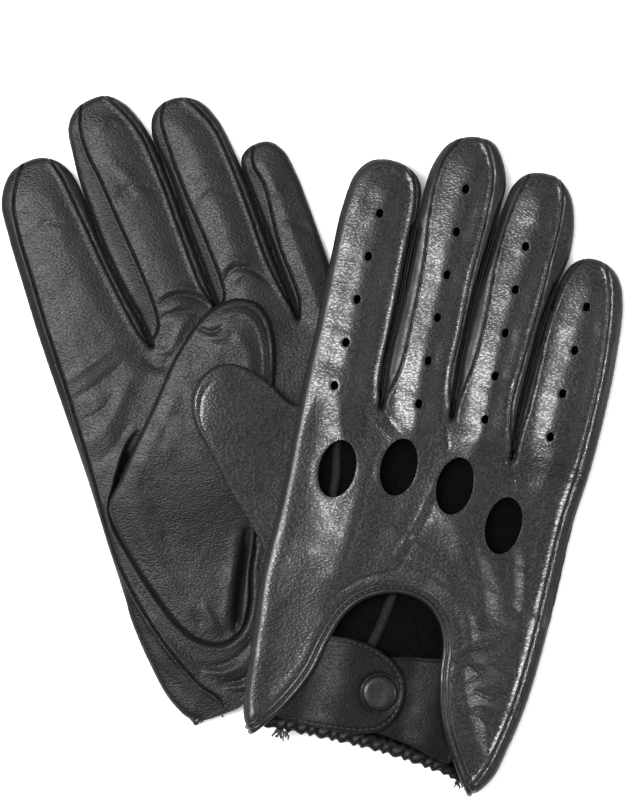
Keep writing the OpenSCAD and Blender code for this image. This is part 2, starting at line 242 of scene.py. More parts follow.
# ---------------------------------------------------------------- flat meshing
def triangulate(loop, holes, lines, rows, pitch):
    """Triangles that fill the loop, leave the holes open and have edges along every line."""
    fixed, edges = [], []
    for points, closed in [(loop, True)] + [(h, True) for h in holes] + [(l, False) for l in lines]:
        first = sum(len(f) for f in fixed)
        fixed.append(points)
        count = len(points)
        edges += [(first + k, first + (k + 1) % count) for k in range(count if closed else count - 1)]
    fixed = np.vstack(fixed)

    def spaced(candidates, kept, gap):
        tree = tree_of(kept)
        candidates = candidates[inside(candidates, loop)]
        return np.array([p for p in candidates if tree.find((p[0], p[1], 0))[2] > gap])

    beside = np.vstack(rows)
    cells = np.round(beside / 0.28).astype(int)
    once = np.unique(cells, axis=0, return_index=True)[1]
    kept = np.vstack([fixed, spaced(beside[np.sort(once)], fixed, 0.2)])
    low, high = loop.min(axis=0), loop.max(axis=0)
    xs = np.arange(low[0], high[0], pitch)
    ys = np.arange(low[1], high[1], pitch * 0.866)
    gx, gy = np.meshgrid(xs, ys)
    gx = gx + (np.arange(len(ys)) % 2)[:, None] * pitch / 2
    grid = np.stack([gx.ravel(), gy.ravel()], axis=1)
    points = np.vstack([kept, spaced(grid, kept, pitch * 0.62)])
    found = delaunay_2d_cdt([Vector(p) for p in points], edges, [], 0, 1e-5)
    xy = np.array([tuple(v) for v in found[0]])
    tris = np.array([f for f in found[2] if len(f) == 3])
    middle = xy[tris].mean(axis=1)
    keep = inside(middle, loop)
    for hole in holes:
        keep &= ~inside(middle, hole)
    tris = tris[keep]
    a, b, c = xy[tris[:, 0]], xy[tris[:, 1]], xy[tris[:, 2]]
    turned = (b[:, 0] - a[:, 0]) * (c[:, 1] - a[:, 1]) - (b[:, 1] - a[:, 1]) * (c[:, 0] - a[:, 0])
    tris = np.where((turned > 0)[:, None], tris, tris[:, ::-1])[np.abs(turned) > 1e-7]
    return xy, tris


def oval(centre, width, length, lean, count):
    """Closed oval of count points; lean turns it, in degrees."""
    a = np.linspace(0, 2 * math.pi, count, endpoint=False)
    p = np.stack([width / 2 * np.cos(a), length / 2 * np.sin(a)], axis=1)
    return p @ turn("z", lean)[:2, :2].T + np.array(centre)


# ---------------------------------------------------------------- the gloves' lines
# Outlines run from the cuff's index corner round the fingertips to its little corner. Each
# run ends in a crotch between two fingers. The slits are the lines on which fingers meet.

OUTLINE = {
    "right": [
        [(-42, 2), (-44.3, 5), (-45.8, 10), (-46.8, 18), (-48, 37), (-49.2, 54), (-49, 68),
         (-48.2, 86), (-48.3, 104), (-48.7, 121), (-48.3, 150), (-48.3, 174), (-48.1, 191),
         (-45.8, 204.6), (-41.5, 210), (-35.2, 211.8), (-28.5, 210.8), (-23.4, 207.4),
         (-21.3, 202), (-21.1, 190), (-20.9, 165), (-21.2, 140), (-19.7, 124.7)],
        [(-19.7, 124.7), (-21.0, 140), (-20.7, 165), (-20.8, 190), (-20.4, 205), (-19.4, 213),
         (-15.6, 221.6), (-10.5, 225.3), (-5, 226.5), (0.6, 225.4), (5.5, 219), (7.9, 211.5),
         (7.7, 203), (6.8, 190), (5.2, 170), (4.7, 148), (6, 126.3)],
        [(6, 126.3), (4.9, 148), (5.4, 170), (7.1, 190), (8.7, 204), (10.6, 212.3),
         (14.2, 217), (19, 218.7), (25.4, 218.2), (31.1, 213.4), (34.5, 204.8), (35.6, 192),
         (33.2, 180), (31.2, 166), (30.1, 148), (29.6, 131), (30.3, 116.2)],
        [(30.3, 116.2), (29.8, 131), (30.3, 148), (31.4, 166), (33.5, 180), (37.2, 189),
         (42.4, 192.3), (49.6, 191.4), (54.9, 187), (58, 178.4), (59.7, 158), (59.7, 136),
         (58.6, 115), (56.8, 98), (56.3, 72), (55.4, 49), (53.7, 30), (50.2, 12.5),
         (47.5, 3), (43, -3.2), (41, -4.2)],
    ],
    "left": [
        [(-37.5, 2), (-41, 4.4), (-45.1, 13), (-47.3, 26.5), (-48.3, 44), (-47.6, 54),
         (-46.9, 74), (-45.8, 96), (-45.3, 120), (-45, 140), (-44.6, 154), (-43.7, 171),
         (-42.6, 189), (-40.6, 202), (-33.4, 210.7), (-23, 212), (-17.7, 209.3),
         (-14.1, 204), (-12.5, 196), (-12.2, 178), (-10.6, 158), (-8.5, 145), (-7.9, 134.8)],
        [(-7.9, 134.8), (-8.3, 145), (-10.4, 158), (-12.0, 178), (-11.9, 198), (-10.9, 208.5),
         (-9, 218.6), (-4.2, 223.9), (1.5, 225.3), (7.5, 224.8), (12.6, 220), (15.8, 213),
         (17.6, 205), (18.7, 191), (18.8, 170), (19.0, 149), (19, 138)],
        [(19, 138), (19.2, 149), (19.0, 170), (19.0, 191), (18.4, 206), (21.3, 212.6),
         (26.6, 215.4), (33.8, 214.6), (39, 210.6), (42.2, 203.4), (43.7, 195), (44.3, 186),
         (44.7, 170), (44.7, 147), (45.2, 126.1)],
        [(45.2, 126.1), (44.9, 147), (44.9, 170), (44.7, 184), (46.2, 187.6), (50, 189.8),
         (56.8, 189.3), (60.8, 184.2), (62.3, 174.5), (62.6, 161), (62.2, 140), (60.5, 112),
         (57.2, 72), (55.6, 49), (53.9, 30), (50.4, 12.5), (47.5, 3), (43, -3.2), (41, -4.2)],
    ],
}
ARCH = [(-42, 2), (-33, 13.5), (-26, 27), (-22.5, 40), (-19, 49.5), (-13.5, 56.5), (-5, 61.2),
        (4, 62.3), (12, 59.8), (18, 53.5), (21, 45.5), (21.8, 36.5), (24, 26), (28, 15.5),
        (34, 5.5), (41, -4.2)]
HEM = {
    "right": [(-42, 2), (-38, 4.6), (-30, 6.2), (0, 6.8), (26, 4.8), (34, 1), (41, -4.2)],
    "left": [(-37.5, 2), (-32, 1.7), (-22, 2.2), (-17, 4.6), (0, 6.4), (26, 4.8), (34, 1),
             (41, -4.2)],
}

# The seams that show, from the crotch or the cuff up to the fingertip. Each pair is the seam
# on the finger's index side and the seam on its little side.
SEAMS = {
    "right": {
        "index": (None,
                  [(-19.7, 124.7), (-22.3, 134), (-22.3, 148), (-22.6, 165), (-22.9, 183),
                   (-22.7, 197), (-24.2, 205), (-29, 212.5)]),
        "middle": ([(-19.7, 124.7), (-16, 138), (-15.3, 157), (-15.4, 179), (-17, 198),
                    (-16.7, 212), (-14.5, 219), (-9, 227.5)],
                   [(6, 126.3), (2.6, 139.5), (2.6, 156), (2.3, 176), (3.1, 192),
                    (3.3, 205.5), (2.4, 215), (-0.6, 222), (-5, 228)]),
        "ring": ([(6, 126.3), (9.6, 146), (10.5, 166), (10.1, 187), (11.6, 202),
                  (13.8, 212), (17, 220)],
                 [(30.3, 116.2), (26.3, 133), (26.8, 151), (28.3, 170), (29, 189),
                  (29.5, 204), (28.2, 214), (25, 220)]),
        "little": ([(30.3, 116.2), (32.3, 132), (33, 149), (33.3, 167), (36, 182),
                    (38.6, 188), (42, 193.5)],
                   [(37.6, -6), (43.2, 4), (46.3, 14), (49.3, 30), (51, 49), (51.8, 72),
                    (52.4, 98), (54.1, 115), (55.2, 136), (55.2, 158), (53.4, 177),
                    (51.2, 186), (47.5, 193.5)]),
    },
    "left": {
        "index": ([(-26, 0), (-28.5, 8.5), (-32, 13), (-39, 30.5), (-44, 52), (-45.6, 66),
                   (-45.2, 79), (-43.6, 97), (-42.3, 117), (-41.4, 134), (-40.7, 154),
                   (-39.6, 172), (-38.6, 189), (-36.5, 200), (-31, 209), (-27, 213)],
                  [(-7.9, 134.8), (-10, 139), (-13.4, 163), (-15.8, 190), (-17.2, 203),
                   (-19.5, 212)]),
        "middle": ([(-7.9, 134.8), (-3, 140), (-1.8, 147), (-2.2, 164), (-3.3, 179),
                    (-4.4, 197), (-5.6, 209), (-4.3, 218.5), (-0.5, 226.5)],
                   [(19, 138), (16.6, 149), (16.1, 170), (16, 191), (14.8, 207),
                    (12, 216), (7, 226)]),
        "ring": ([(19, 138), (23, 142), (23.8, 162), (22.7, 181), (22.6, 197),
                  (23.7, 210), (28, 216.5)],
                 [(45.2, 126.1), (42, 147), (42, 170), (41.6, 187), (40.4, 200), (37, 209),
                  (33, 216)]),
        "little": ([(45.2, 126.1), (47.8, 131), (48, 153), (50.2, 175), (49, 183.5),
                    (52, 191)],
                   None),
    },
}
# The side seams of the faces that don't show, a little way in from the outline.
HIDDEN_EDGE = {
    "right": [(-30, 0), (-36, 10), (-42, 30), (-45, 52), (-45.2, 80), (-45, 104), (-45.3, 121),
              (-45, 150), (-44.8, 174), (-44.2, 189), (-42, 200), (-36, 208), (-31, 213)],
    "left": [(37.6, -6), (43.2, 4), (46.4, 14), (49.6, 30), (51.4, 49), (53, 72), (56, 112),
             (57.8, 140), (58.4, 161), (58, 174), (56, 184), (52.5, 191)],
}
FINGERS = ["index", "middle", "ring", "little"]
# Where each finger's piece begins: the ends of the line across it.
CUTS = {
    "right": [((-55, 124.7), (-19.7, 124.7)), ((-19.7, 124.7), (6, 126.3)),
              ((6, 126.3), (30.3, 116.2)), ((30.3, 116.2), (65, 115.2))],
    "left": [((-52, 140), (-8.1, 140)), ((-8.1, 140), (19, 140)),
             ((19, 140), (44.8, 140)), ((44.8, 140), (70, 140))],
}
VENTS = {
    "right": [((-37.9, 128.5), (-34.7, 192), 5), ((-7, 128.4), (-6.3, 207), 6),
              ((17.4, 127.8), (18.9, 191.4), 5), ((41.8, 126.6), (44.9, 174.8), 4)],
    "left": [((-30, 131), (-27, 195), 5), ((5, 131), (4, 210), 6),
             ((31, 131), (31, 194.6), 5), ((53, 131), (53.8, 178.7), 4)],
}
KNUCKLES = {
    "right": [(-30.8, 99.7), (-9.3, 104.8), (11.9, 102.4), (32.1, 92.1)],
    "left": [(-30, 112), (-8, 117), (13.5, 115), (34, 106)],
}
KNUCKLE_WIDE, KNUCKLE_LONG, KNUCKLE_LEAN = 13.4, 21.0, -3
VENT_WIDE, VENT_LONG = 2.9, 3.5
HOLE_POINTS = {"knuckle": 44, "vent": 16}

# Folds in the leather: points, height (below zero is a crease) and width, in millimetres.
FOLDS = {
    "right": [
        ([(-19, 123), (-15, 119.6), (-10.8, 115.8)], -0.22, 0.8),
        ([(-22.5, 119), (-17, 116.6), (-12.4, 113)], 0.14, 1.2),
        ([(-19.6, 116), (-21.6, 90), (-23.6, 60)], 0.3, 2.4),
        ([(-18.2, 110), (-19.4, 90), (-21.6, 62)], -0.2, 1.0),
        ([(-37, 110), (-39.5, 80), (-38.5, 50), (-36, 25)], 0.35, 5.0),
        ([(4.4, 103), (1.2, 88), (-4.4, 72)], 0.26, 1.0),
        ([(6.4, 98), (3.4, 86), (-1.4, 72)], -0.24, 1.3),
        ([(-3, 97), (-4.6, 87), (-6.6, 77)], 0.14, 1.5),
        ([(7, 92), (17, 86), (25, 75), (30, 64), (33, 54)], 1.0, 4.2),
        ([(19, 90), (22, 78), (29, 68)], -0.4, 1.6),
        ([(-6, 72.4), (3, 71.4), (12, 69), (19, 65)], -0.25, 0.8),
        ([(-5, 74.4), (4, 73.8), (13, 71.4), (21, 66.6)], 0.25, 1.0),
        ([(-22, 56), (-14, 63), (-3, 67.5), (6, 67)], -0.22, 0.7),
        ([(10, 67.5), (19, 63.5), (25.5, 57), (28.5, 49), (28, 43)], 0.9, 2.4),
        ([(23.4, 39), (29, 44.8), (35, 47.6), (41, 54.4)], -0.26, 0.7),
        ([(25, 43.6), (29.4, 49), (36, 53)], 0.18, 1.1),
        ([(26, 37), (31, 41.8), (37, 42.6)], 0.2, 1.1),
        ([(30, 27.6), (34, 31.8), (41, 31), (48, 35)], -0.22, 0.7),
        ([(33, 33.4), (38, 34.6), (45, 39)], 0.25, 1.3),
        ([(31, 25.4), (37, 27.6), (43, 27)], 0.2, 1.2),
        ([(33, 38.6), (38, 41.4), (41, 46)], -0.16, 0.7),
        ([(25.6, 40), (30, 40.4), (35, 37)], -0.18, 0.6),
        ([(27, 34), (32, 35.6), (36, 41)], -0.16, 0.6),
        ([(31, 22), (36, 23.6), (41, 20)], -0.18, 0.7),
        ([(35, 43), (41, 41), (47, 43.6)], -0.16, 0.7),
        ([(26, 42), (30.5, 31), (35.5, 20), (40, 11), (43.5, 4)], 1.0, 2.8),
        ([(40, 24), (43, 14), (46, 6)], -0.2, 1.6),
        ([(37, 85), (41, 72), (44.5, 60)], 0.7, 3.6),
        ([(41, 84), (44, 68), (46, 52)], -0.3, 2.2),
        ([(46, 112), (46.5, 92), (47.5, 70)], 0.45, 2.4),
        ([(25, 111), (33, 108.6), (40, 109)], -0.3, 1.0),
        ([(4, 123), (6, 118), (6.6, 113)], -0.22, 0.8),
        ([(31.0, 114), (32.4, 108), (33.5, 104)], -0.25, 0.8),
        ([(-46, 137), (-38, 135.6), (-26, 138)], -0.2, 2.2),
        ([(-14, 134), (-7, 132.6), (1, 135)], -0.2, 1.8),
        ([(-42, 196), (-38, 170), (-40, 150)], 0.25, 4.0),
        ([(11, 141), (17, 139.6), (25, 142)], -0.18, 1.8),
        ([(14, 197), (20, 199), (27, 194)], -0.25, 2.0),
        ([(35, 129), (43, 127.6), (53, 130)], -0.2, 2.2),
    ],
    "left": [
        ([(-1, 147), (5, 148.6), (11, 147), (17.4, 140.6)], -0.6, 0.9),
        ([(0, 150), (6, 151), (12.4, 149.2), (17, 145)], 0.5, 1.2),
        ([(1.5, 144), (7, 145.2), (12, 143)], 0.35, 1.1),
        ([(-2, 142.6), (5, 142.8), (13, 139)], -0.4, 1.0),
        ([(23.5, 146), (29, 150.4), (35, 148.4), (41, 139)], -0.55, 0.9),
        ([(24.5, 150), (30, 153.6), (36, 151)], 0.45, 1.3),
        ([(27, 145.4), (32, 147.4), (37, 143)], 0.35, 1.1),
        ([(-8, 133), (-3, 131), (4, 136.6), (10, 141)], 0.5, 1.6),
        ([(-13, 131), (-6, 126), (-2, 130)], -0.5, 1.5),
        ([(-44, 108), (-34, 112), (-24, 121), (-15, 130)], 0.55, 3.0),
        ([(-42, 101), (-33, 104.6), (-24, 112)], -0.3, 1.6),
        ([(-41, 126), (-30, 128.4), (-18, 133)], -0.3, 1.3),
        ([(-41, 133), (-30, 136), (-19, 139)], 0.3, 1.6),
        ([(-40, 118), (-32, 119), (-25, 124)], -0.25, 1.0),
        ([(-34, 186), (-28, 189), (-21, 186)], -0.2, 1.1),
        ([(-3, 187), (5, 191), (13, 187)], -0.3, 1.3),
        ([(0, 213), (5, 216), (10.6, 212.4)], 0.35, 1.4),
        ([(0, 205), (4.4, 196), (9, 184)], 0.3, 2.0),
        ([(25, 176), (32, 179), (40, 175)], -0.3, 1.2),
        ([(26, 186), (33, 187), (39, 184)], 0.25, 1.6),
        ([(51, 160), (56, 158), (61, 153)], -0.3, 1.2),
        ([(52, 172), (57, 168), (61, 166)], 0.25, 1.4),
        ([(-43, 44), (-38.4, 30), (-32, 18)], 0.5, 2.2),
        ([(-45.5, 38), (-42.2, 25), (-37, 14)], 0.35, 1.5),
        ([(-33, 22), (-25, 18.6), (-16, 19.4), (-8, 24)], -0.55, 1.2),
        ([(-31, 19), (-23, 15.4), (-14, 16)], 0.5, 1.3),
        ([(-27, 12.6), (-20, 11), (-12, 12.4)], -0.6, 1.0),
        ([(-25, 10.4), (-18, 8.4), (-10, 9.4)], 0.45, 1.1),
    ],
}
# Crests that the leather falls away from on their left: points, fall and how far it reaches.
SHELVES = {
    "right": [
        ([(-13, 122), (-14, 110), (-19.5, 96), (-21.2, 86), (-23.6, 64), (-28, 48)], 0.9, 12),
        ([(-12, 121), (-13.5, 108), (-17, 96), (-20, 88)], 0.8, 9),
        ([(4.6, 106), (1.2, 90), (-4.6, 72)], 0.3, 3.5),
    ],
    "left": [],
}
GUSSET_SEAM = [(-34.7, 93.3), (-40.9, 86), (-42.4, 79.5), (-40.3, 64), (-37, 49.5), (-33, 37),
               (-28, 29.3), (-20, 25), (-12, 27.5), (-6, 35.5), (-1.6, 46.5), (2.8, 54.8)]
NOTCH_FOLD = [(-43, 80), (-42, 85.6), (-37.8, 92.3), (-32.8, 99.1), (-27.8, 105), (-22.6, 108.4)]

def fold_lines(folds):
    """Folds or shelves with their points made into a Line."""
    return [(Line(smooth(points, 1.0)), a, b) for points, a, b in folds]


def arch_line(glove):
    """The arch's edge, from the glove's own index corner at the cuff."""
    line = smooth(ARCH, 1.0)
    if glove is LEFT:
        line = np.vstack([HEM["left"][:1], line[5:]])
    return line


def openings(glove):
    """The knuckle openings and the vent holes of a glove's back."""
    holes = []
    for centre in KNUCKLES[glove.name]:
        holes.append(oval(centre, KNUCKLE_WIDE, KNUCKLE_LONG, KNUCKLE_LEAN, HOLE_POINTS["knuckle"]))
    for first, last, count in VENTS[glove.name]:
        for k in range(count):
            share = k / (count - 1)
            centre = (1 - share) * np.array(first) + share * np.array(last)
            holes.append(oval(centre, VENT_WIDE, VENT_LONG, 0, HOLE_POINTS["vent"]))
    return holes


def region(line, towards):
    """Polygon on one side of a seam: -1 is the index side, 1 the little side."""
    far = towards * 400.0
    return np.vstack([line, [[far, line[-1, 1]], [far, line[0, 1]]]])


def hidden_seams(glove):
    """Seams of the face that doesn't show: its side seam is on the glove's other side."""
    found = dict(SEAMS[glove.name])
    edge = HIDDEN_EDGE[glove.name]
    found["index"] = (edge if glove is RIGHT else None, found["index"][1])
    found["little"] = (found["little"][0], None if glove is RIGHT else edge)
    return found


def cut_frame(cut):
    """The two ends of a cut and the direction from it towards the tip."""
    a, b = (np.array(p, float) for p in cut)
    along = (b - a) / np.linalg.norm(b - a)
    return a, b, np.array([-along[1], along[0]])


def under_thumb(xy):
    """How deep points lie inside the lower thumb's root, which is sewn over the palm."""
    a, _, ahead = cut_frame(THUMB_CUT["left"])
    root = smooth(THUMB_LOOP["left"], 1.0, closed=True)
    depth, _, _ = Line(root, closed=True).near(xy, 3)
    return np.minimum(depth, (xy - a) @ -ahead) * inside(xy, root)


# Relief of the face that is up, in millimetres, and its painted shade, from 0 to 1, which darkens the
# colour towards black and dulls the gloss.
SEAM_DEEP, SEAM_WIDE = 0.8, 0.28
SEAM_RIDGE = {"right": 0.46, "left": 0.40}
# painted shade on the strips beside the index-side seams, where those walls fall into shade
STRIP_PAINTED_SHADE = {"right": 0.66, "left": 0.5}
# painted shade along the right glove's rounded rim
RIM_PAINTED_SHADE = 0.7
NEAR_SHARE, FAR_SHARE = 0.64, 0.36  # of the height over the shoulder: close to the rim, far in
FAR_IN = 42.0
TOP_SPARE = 0.55


class Sheet:
    """One face of a glove: its flat triangles, its heights and which panel each triangle is."""

    def __init__(self, glove, face):
        up = face == glove.up
        self.glove, self.face, self.up = glove, face, up
        outline = [smooth(run, 1.0) for run in OUTLINE[glove.name]]
        border = np.vstack([run[:-1] for run in outline] + [outline[-1][-1:]])
        cuff = arch_line(glove) if face == "back" else smooth(HEM[glove.name], 1.2)
        self.cuff = Line(cuff)
        self.rim = Line(np.vstack(outline))
        self.slits = []
        for a, b in zip(OUTLINE[glove.name][:-1], OUTLINE[glove.name][1:]):
            a, b = np.array(a)[::-1], np.array(b)
            line = [(a[k] + b[k]) / 2 for k in range(5) if np.linalg.norm(a[k] - b[k]) < 3]
            self.slits.append(smooth(line, 1.0))
        self.slit_lines = [Line(slit) for slit in self.slits]

        # lines that the triangles' edges follow, and rows of points beside all relief
        step = 0.9 if up else 1.8
        lines, rows = [], []
        self.seams, self.seam_lines = {}, []
        drawn = SEAMS[glove.name] if up else hidden_seams(glove)
        for finger, cut in zip(FINGERS, CUTS[glove.name]):
            self.seams[finger] = [None if s is None else smooth(s, 1.0) for s in drawn[finger]]
            for seam, side in zip(self.seams[finger], (-1, 1)):
                if seam is not None:
                    line = Line(seam)
                    lines.append(seam)
                    rows += line.rows((0.24, 0.5, 0.85, 1.3, 1.9) if up else (0.6, 1.4), step)
                    self.seam_lines.append((line, side))
            lines.append(resample(cut, 1.2))
        edges = [Line(run) for run in outline]
        for off in (0.25, 0.6, 1.1, 1.8, 2.6) if up else (0.5, 1.3, 2.4):
            rows += [edge.row(-off, step) for edge in edges]
        self.extra = []
        if face == "palm" and up:
            self.extra = [Line(smooth(curve, 1.0)) for curve in (GUSSET_SEAM, NOTCH_FOLD)]
        for line in self.extra:
            rows += line.rows((0, 0.4, 0.8, 1.4, 2.2), step)
        self.folds = fold_lines(FOLDS[glove.name]) if up else []
        self.shelves = fold_lines(SHELVES[glove.name]) if up else []
        for line, _, width in self.folds:
            if width < FINE_FOLD:
                rows += line.rows([share * width for share in (0, 0.5, 1, 1.7)], 1.0)
        holes = openings(glove) if face == "back" else []
        self.hole_lines = [Line(hole, closed=True) for hole in holes]
        for edge in self.hole_lines:
            rows += edge.rows((0.4, 0.9, 1.5), 0.9, (-1,))
        if face == "back" and up:
            rows += self.cuff.rows((0.5, 1.0, 1.6, 2.4), 1.0, (1,))
        loop = np.vstack([border, cuff[::-1][1:-1]])
        self.xy, self.tris = triangulate(loop, holes, lines, rows, 1.15 if up else 2.2)
        self.z, self.painted_shade = self.heights(self.xy)
        self.names = self.label()

    def heights(self, xy):
        """Heights in pattern space, and the leather's painted shade, from 0 to 1."""
        room = (self.glove.height if self.face == "back" else 0) - self.glove.border
        shape = self.shown if self.up else self.hidden
        rise, dark = shape(xy, abs(room))
        return self.glove.border + (1 if room > 0 else -1) * rise, dark

    def hidden(self, xy, room):
        """Rise of the face that is down: nearly flat, with grooves for slits and seams."""
        far, _, _ = self.rim.near(xy)
        rise = room * rounded(far, 3.2)
        for line in self.slit_lines:
            gap, _, _ = line.near(xy, 4)
            rise = rise * (0.15 + 0.85 * ease(gap, 0.2, 2.2))
        for line, _ in self.seam_lines:
            gap, _, _ = line.near(xy, 4)
            rise -= 0.45 * bump(gap, 0.7)
        return np.clip(rise, 0, room - 0.05), np.zeros(len(xy))

    def body(self, xy, far, room):
        """Rise of the face that is up before its seams and folds: rim, shoulder and crown."""
        x, y = xy.T
        if self.glove is RIGHT:
            left = (1 - ease(x, -43, -36)) * ease(y, 104, 132)
            wide, shoulder = 2.5 + 3.0 * left, 2.7 + 0.6 * left
            hand = 1 - ease(y, 104, 128)
            crown = ease(far, 3.5 + 4.5 * hand, 13 + 12 * hand)
            wrist = (1 - ease(y, 46, 72)) * (1 - ease(x, -16, 4))
            lean = 0.4 * hand * bump(far - 3.2, 3.0) - 0.075 * wrist * np.clip(x + 42, 0, 22)
        else:
            left = 1 - ease(x, -42, -34)
            wide, shoulder = 2.4 + 0.8 * left, 2.1 + 0.2 * left
            crown = ease(far, 1.0, 12.5)
            lean = 0
        spare = room - TOP_SPARE - shoulder
        rise = shoulder * rounded(far, wide) + lean
        return rise + NEAR_SHARE * spare * crown + FAR_SHARE * spare * swell(far, FAR_IN)

    def shown(self, xy, room):
        """Rise of the face that is up, with its slits, seams, folds and wrinkles, and the painted shade
        in its slits, seam grooves, strips and rim.
        """
        right = self.glove is RIGHT
        far, _, _ = self.rim.near(xy)
        rise = self.body(xy, far, room)
        dark = np.zeros(len(xy))
        for line in self.slit_lines:
            gap, share, _ = line.near(xy, 5)
            half = (0.75 + 0.45 * ease(share, 0.2, 0.9)) if right else 0.45
            rise = rise * (0.04 + 0.96 * ease(gap, half - 0.2, half + 0.6))
            # painted shade at the bottom of each slit
            dark = np.maximum(dark, 1 - ease(gap, half, half + 0.4))
        for line, side in self.seam_lines:
            gap, share, left = line.near(xy, 5)
            lit = gap * left
            fade = ease(share, 0.0, 0.04)
            ridge = SEAM_RIDGE[self.glove.name] * bump(lit - 1.0, 0.65) + 0.04 * bump(lit + 0.9, 0.6)
            rise += fade * (ridge - SEAM_DEEP * bump(gap, SEAM_WIDE))
            # painted shade in the seam's groove
            dark = np.maximum(dark, fade * bump(gap, 0.22))
            # painted shade on the strip beside an index-side seam
            if side < 0:
                strip = ease(lit, 1.3, 2.1) * (1 - ease(lit, 5, 6.5)) * ease(share, 0.005, 0.05)
                dark = np.maximum(dark, STRIP_PAINTED_SHADE[self.glove.name] * strip)
        for line, height, width in self.folds:
            gap, share, _ = line.near(xy, 3 * width)
            rise += height * bump(gap, width) * fade_ends(share)
        for line, drop, reach in self.shelves:
            gap, share, left = line.near(xy)
            rise -= drop * ease(gap * left, 0, reach) * fade_ends(share)
        for line in self.hole_lines:
            gap, _, _ = line.near(xy, 3)
            rise += 0.10 * bump(gap - 1.0, 0.8)
        if self.face == "back":
            gap, _, _ = self.cuff.near(xy, 8)
            rise += 0.17 * bump(gap - 3.6, 1.1) - 0.35 * bump(gap, 2.0)
        if self.extra:
            rise, dark = self.beside_thumb(xy, rise, dark)
        wrinkles = 0.24 * noise(xy, 17, 1) + 0.10 * noise(xy + 50, 7, 2) + 0.035 * noise(xy, 3, 3)
        rise += ease(far, 0.5, 4) * wrinkles
        # painted shade along the right glove's rounded rim
        if right:
            dark = np.maximum(dark, RIM_PAINTED_SHADE * (1 - ease(far, 1.6, 3.4)))
        return np.clip(rise, 0.0, room + 0.2), dark

    def beside_thumb(self, xy, rise, dark):
        """Adds the seam round the lower thumb's root and the fold at its notch, with painted shade in
        the seam's groove and in the gap below the fold.
        """
        seam, notch = self.extra
        gap, _, _ = seam.near(xy, 5)
        rise += 0.3 * bump(gap - 1.6, 0.8) - bump(gap, 0.45)
        # painted shade in the seam's groove
        dark = np.maximum(dark, bump(gap, 0.28))
        gap, share, left = notch.near(xy, 6)
        across, tall = gap * left, fade_ends(share, 0.7)
        below = ease(-across, 0.0, 0.8) * (1 - ease(-across, 3.5, 6))
        rise += tall * (0.45 * bump(across - 0.8, 0.8) - 2.2 * below)
        # painted shade in the gap below the notch fold
        dark = np.maximum(dark, tall * ease(-across, 0.2, 0.6) * (1 - ease(-across, 3.5, 5)))
        return rise - 2.4 * ease(under_thumb(xy), 0.6, 2.4), dark

    def label(self):
        """Name of the panel that each triangle belongs to."""
        other = "palm" if self.face == "back" else "back"
        middle = self.xy[self.tris].mean(axis=1)
        names = np.full(len(middle), "hand_" + self.face, dtype=object)
        sides = [np.array([[x, 100], [x, 230]]) for x in (-80, 80)]
        walls = [sides[0], *self.slits, sides[1]]
        for n, (a, b) in enumerate(CUTS[self.glove.name]):
            finger = FINGERS[n]
            left, right = walls[n], walls[n + 1]
            right = right[right[:, 1] > b[1] - 0.05]
            left = left[left[:, 1] > a[1] - 0.05]
            tops = [[right[-1, 0] + (8 if n < 3 else 0), 260], [left[-1, 0] - (8 if n > 0 else 0), 260]]
            here = inside(middle, np.vstack([[a], [b], right, tops, left[::-1]]))
            names[here] = finger + "_" + self.face
            for k, seam in enumerate(self.seams[finger]):
                if seam is None:
                    continue
                beyond = inside(middle, region(seam, (-1, 1)[k]))
                if (finger, k) in (("index", 0), ("little", 1)):
                    names[here & beyond] = finger + "_" + other
                    names[beyond & (names == "hand_" + self.face)] = "hand_" + other
                else:
                    which = "" if finger in ("index", "little") else ("_inner", "_outer")[k]
                    names[here & beyond] = finger + which + "_fourchette"
        return names


# ---------------------------------------------------------------- making pieces
CUT_ROUND = 0.18         # how far the middle of a cut edge stands out
CUT_PAINTED_SHADE = 0.7           # the painted shade of cut edges and inner sides, which darkens the cut edges and dulls their gloss
SLIT_SHADE_LIMIT = 0.75              # triangles with more painted shade than this are the bottom of a slit and get the black flesh material as painted shade


def vertex_normals(points, tris):
    """Area-weighted normals."""
    cross = np.cross(points[tris[:, 1]] - points[tris[:, 0]], points[tris[:, 2]] - points[tris[:, 0]])
    normals = np.zeros_like(points)
    for k in range(3):
        np.add.at(normals, tris[:, k], cross)
    length = np.linalg.norm(normals, axis=1)[:, None]
    return normals / np.maximum(length, 1e-12)


def open_edges(tris):
    """Edges that only one triangle has."""
    edges = np.vstack([tris[:, [0, 1]], tris[:, [1, 2]], tris[:, [2, 0]]])
    _, where, times = np.unique(np.sort(edges, axis=1), axis=0, return_index=True, return_counts=True)
    return edges[where[times == 1]]


def make_mesh(name, points, faces, materials, normals=None, inner=None):
    """A Blender object with smooth faces; inner is each face's material number."""
    mesh = bpy.data.meshes.new(name)
    mesh.from_pydata([tuple(p) for p in points], [], [tuple(int(i) for i in f) for f in faces])
    for material in materials:
        mesh.materials.append(material)
    mesh.shade_smooth()
    if inner is not None:
        mesh.polygons.foreach_set("material_index", inner.astype(np.int32))
    if normals is not None:
        mesh.normals_split_custom_set_from_vertices([tuple(n) for n in normals])
    mesh.update()
    piece = bpy.data.objects.new(name, mesh)
    bpy.context.scene.collection.objects.link(piece)
    return piece


def glove_mesh(name, glove, points, faces, materials, normals=None, inner=None):
    """A piece that is given in its glove's pattern space."""
    if glove.mirrored:
        faces = [face[::-1] for face in faces]
    if normals is not None:
        normals = normals @ glove.matrix.T
    return make_mesh(name, glove.world(points), faces, materials, normals, inner)


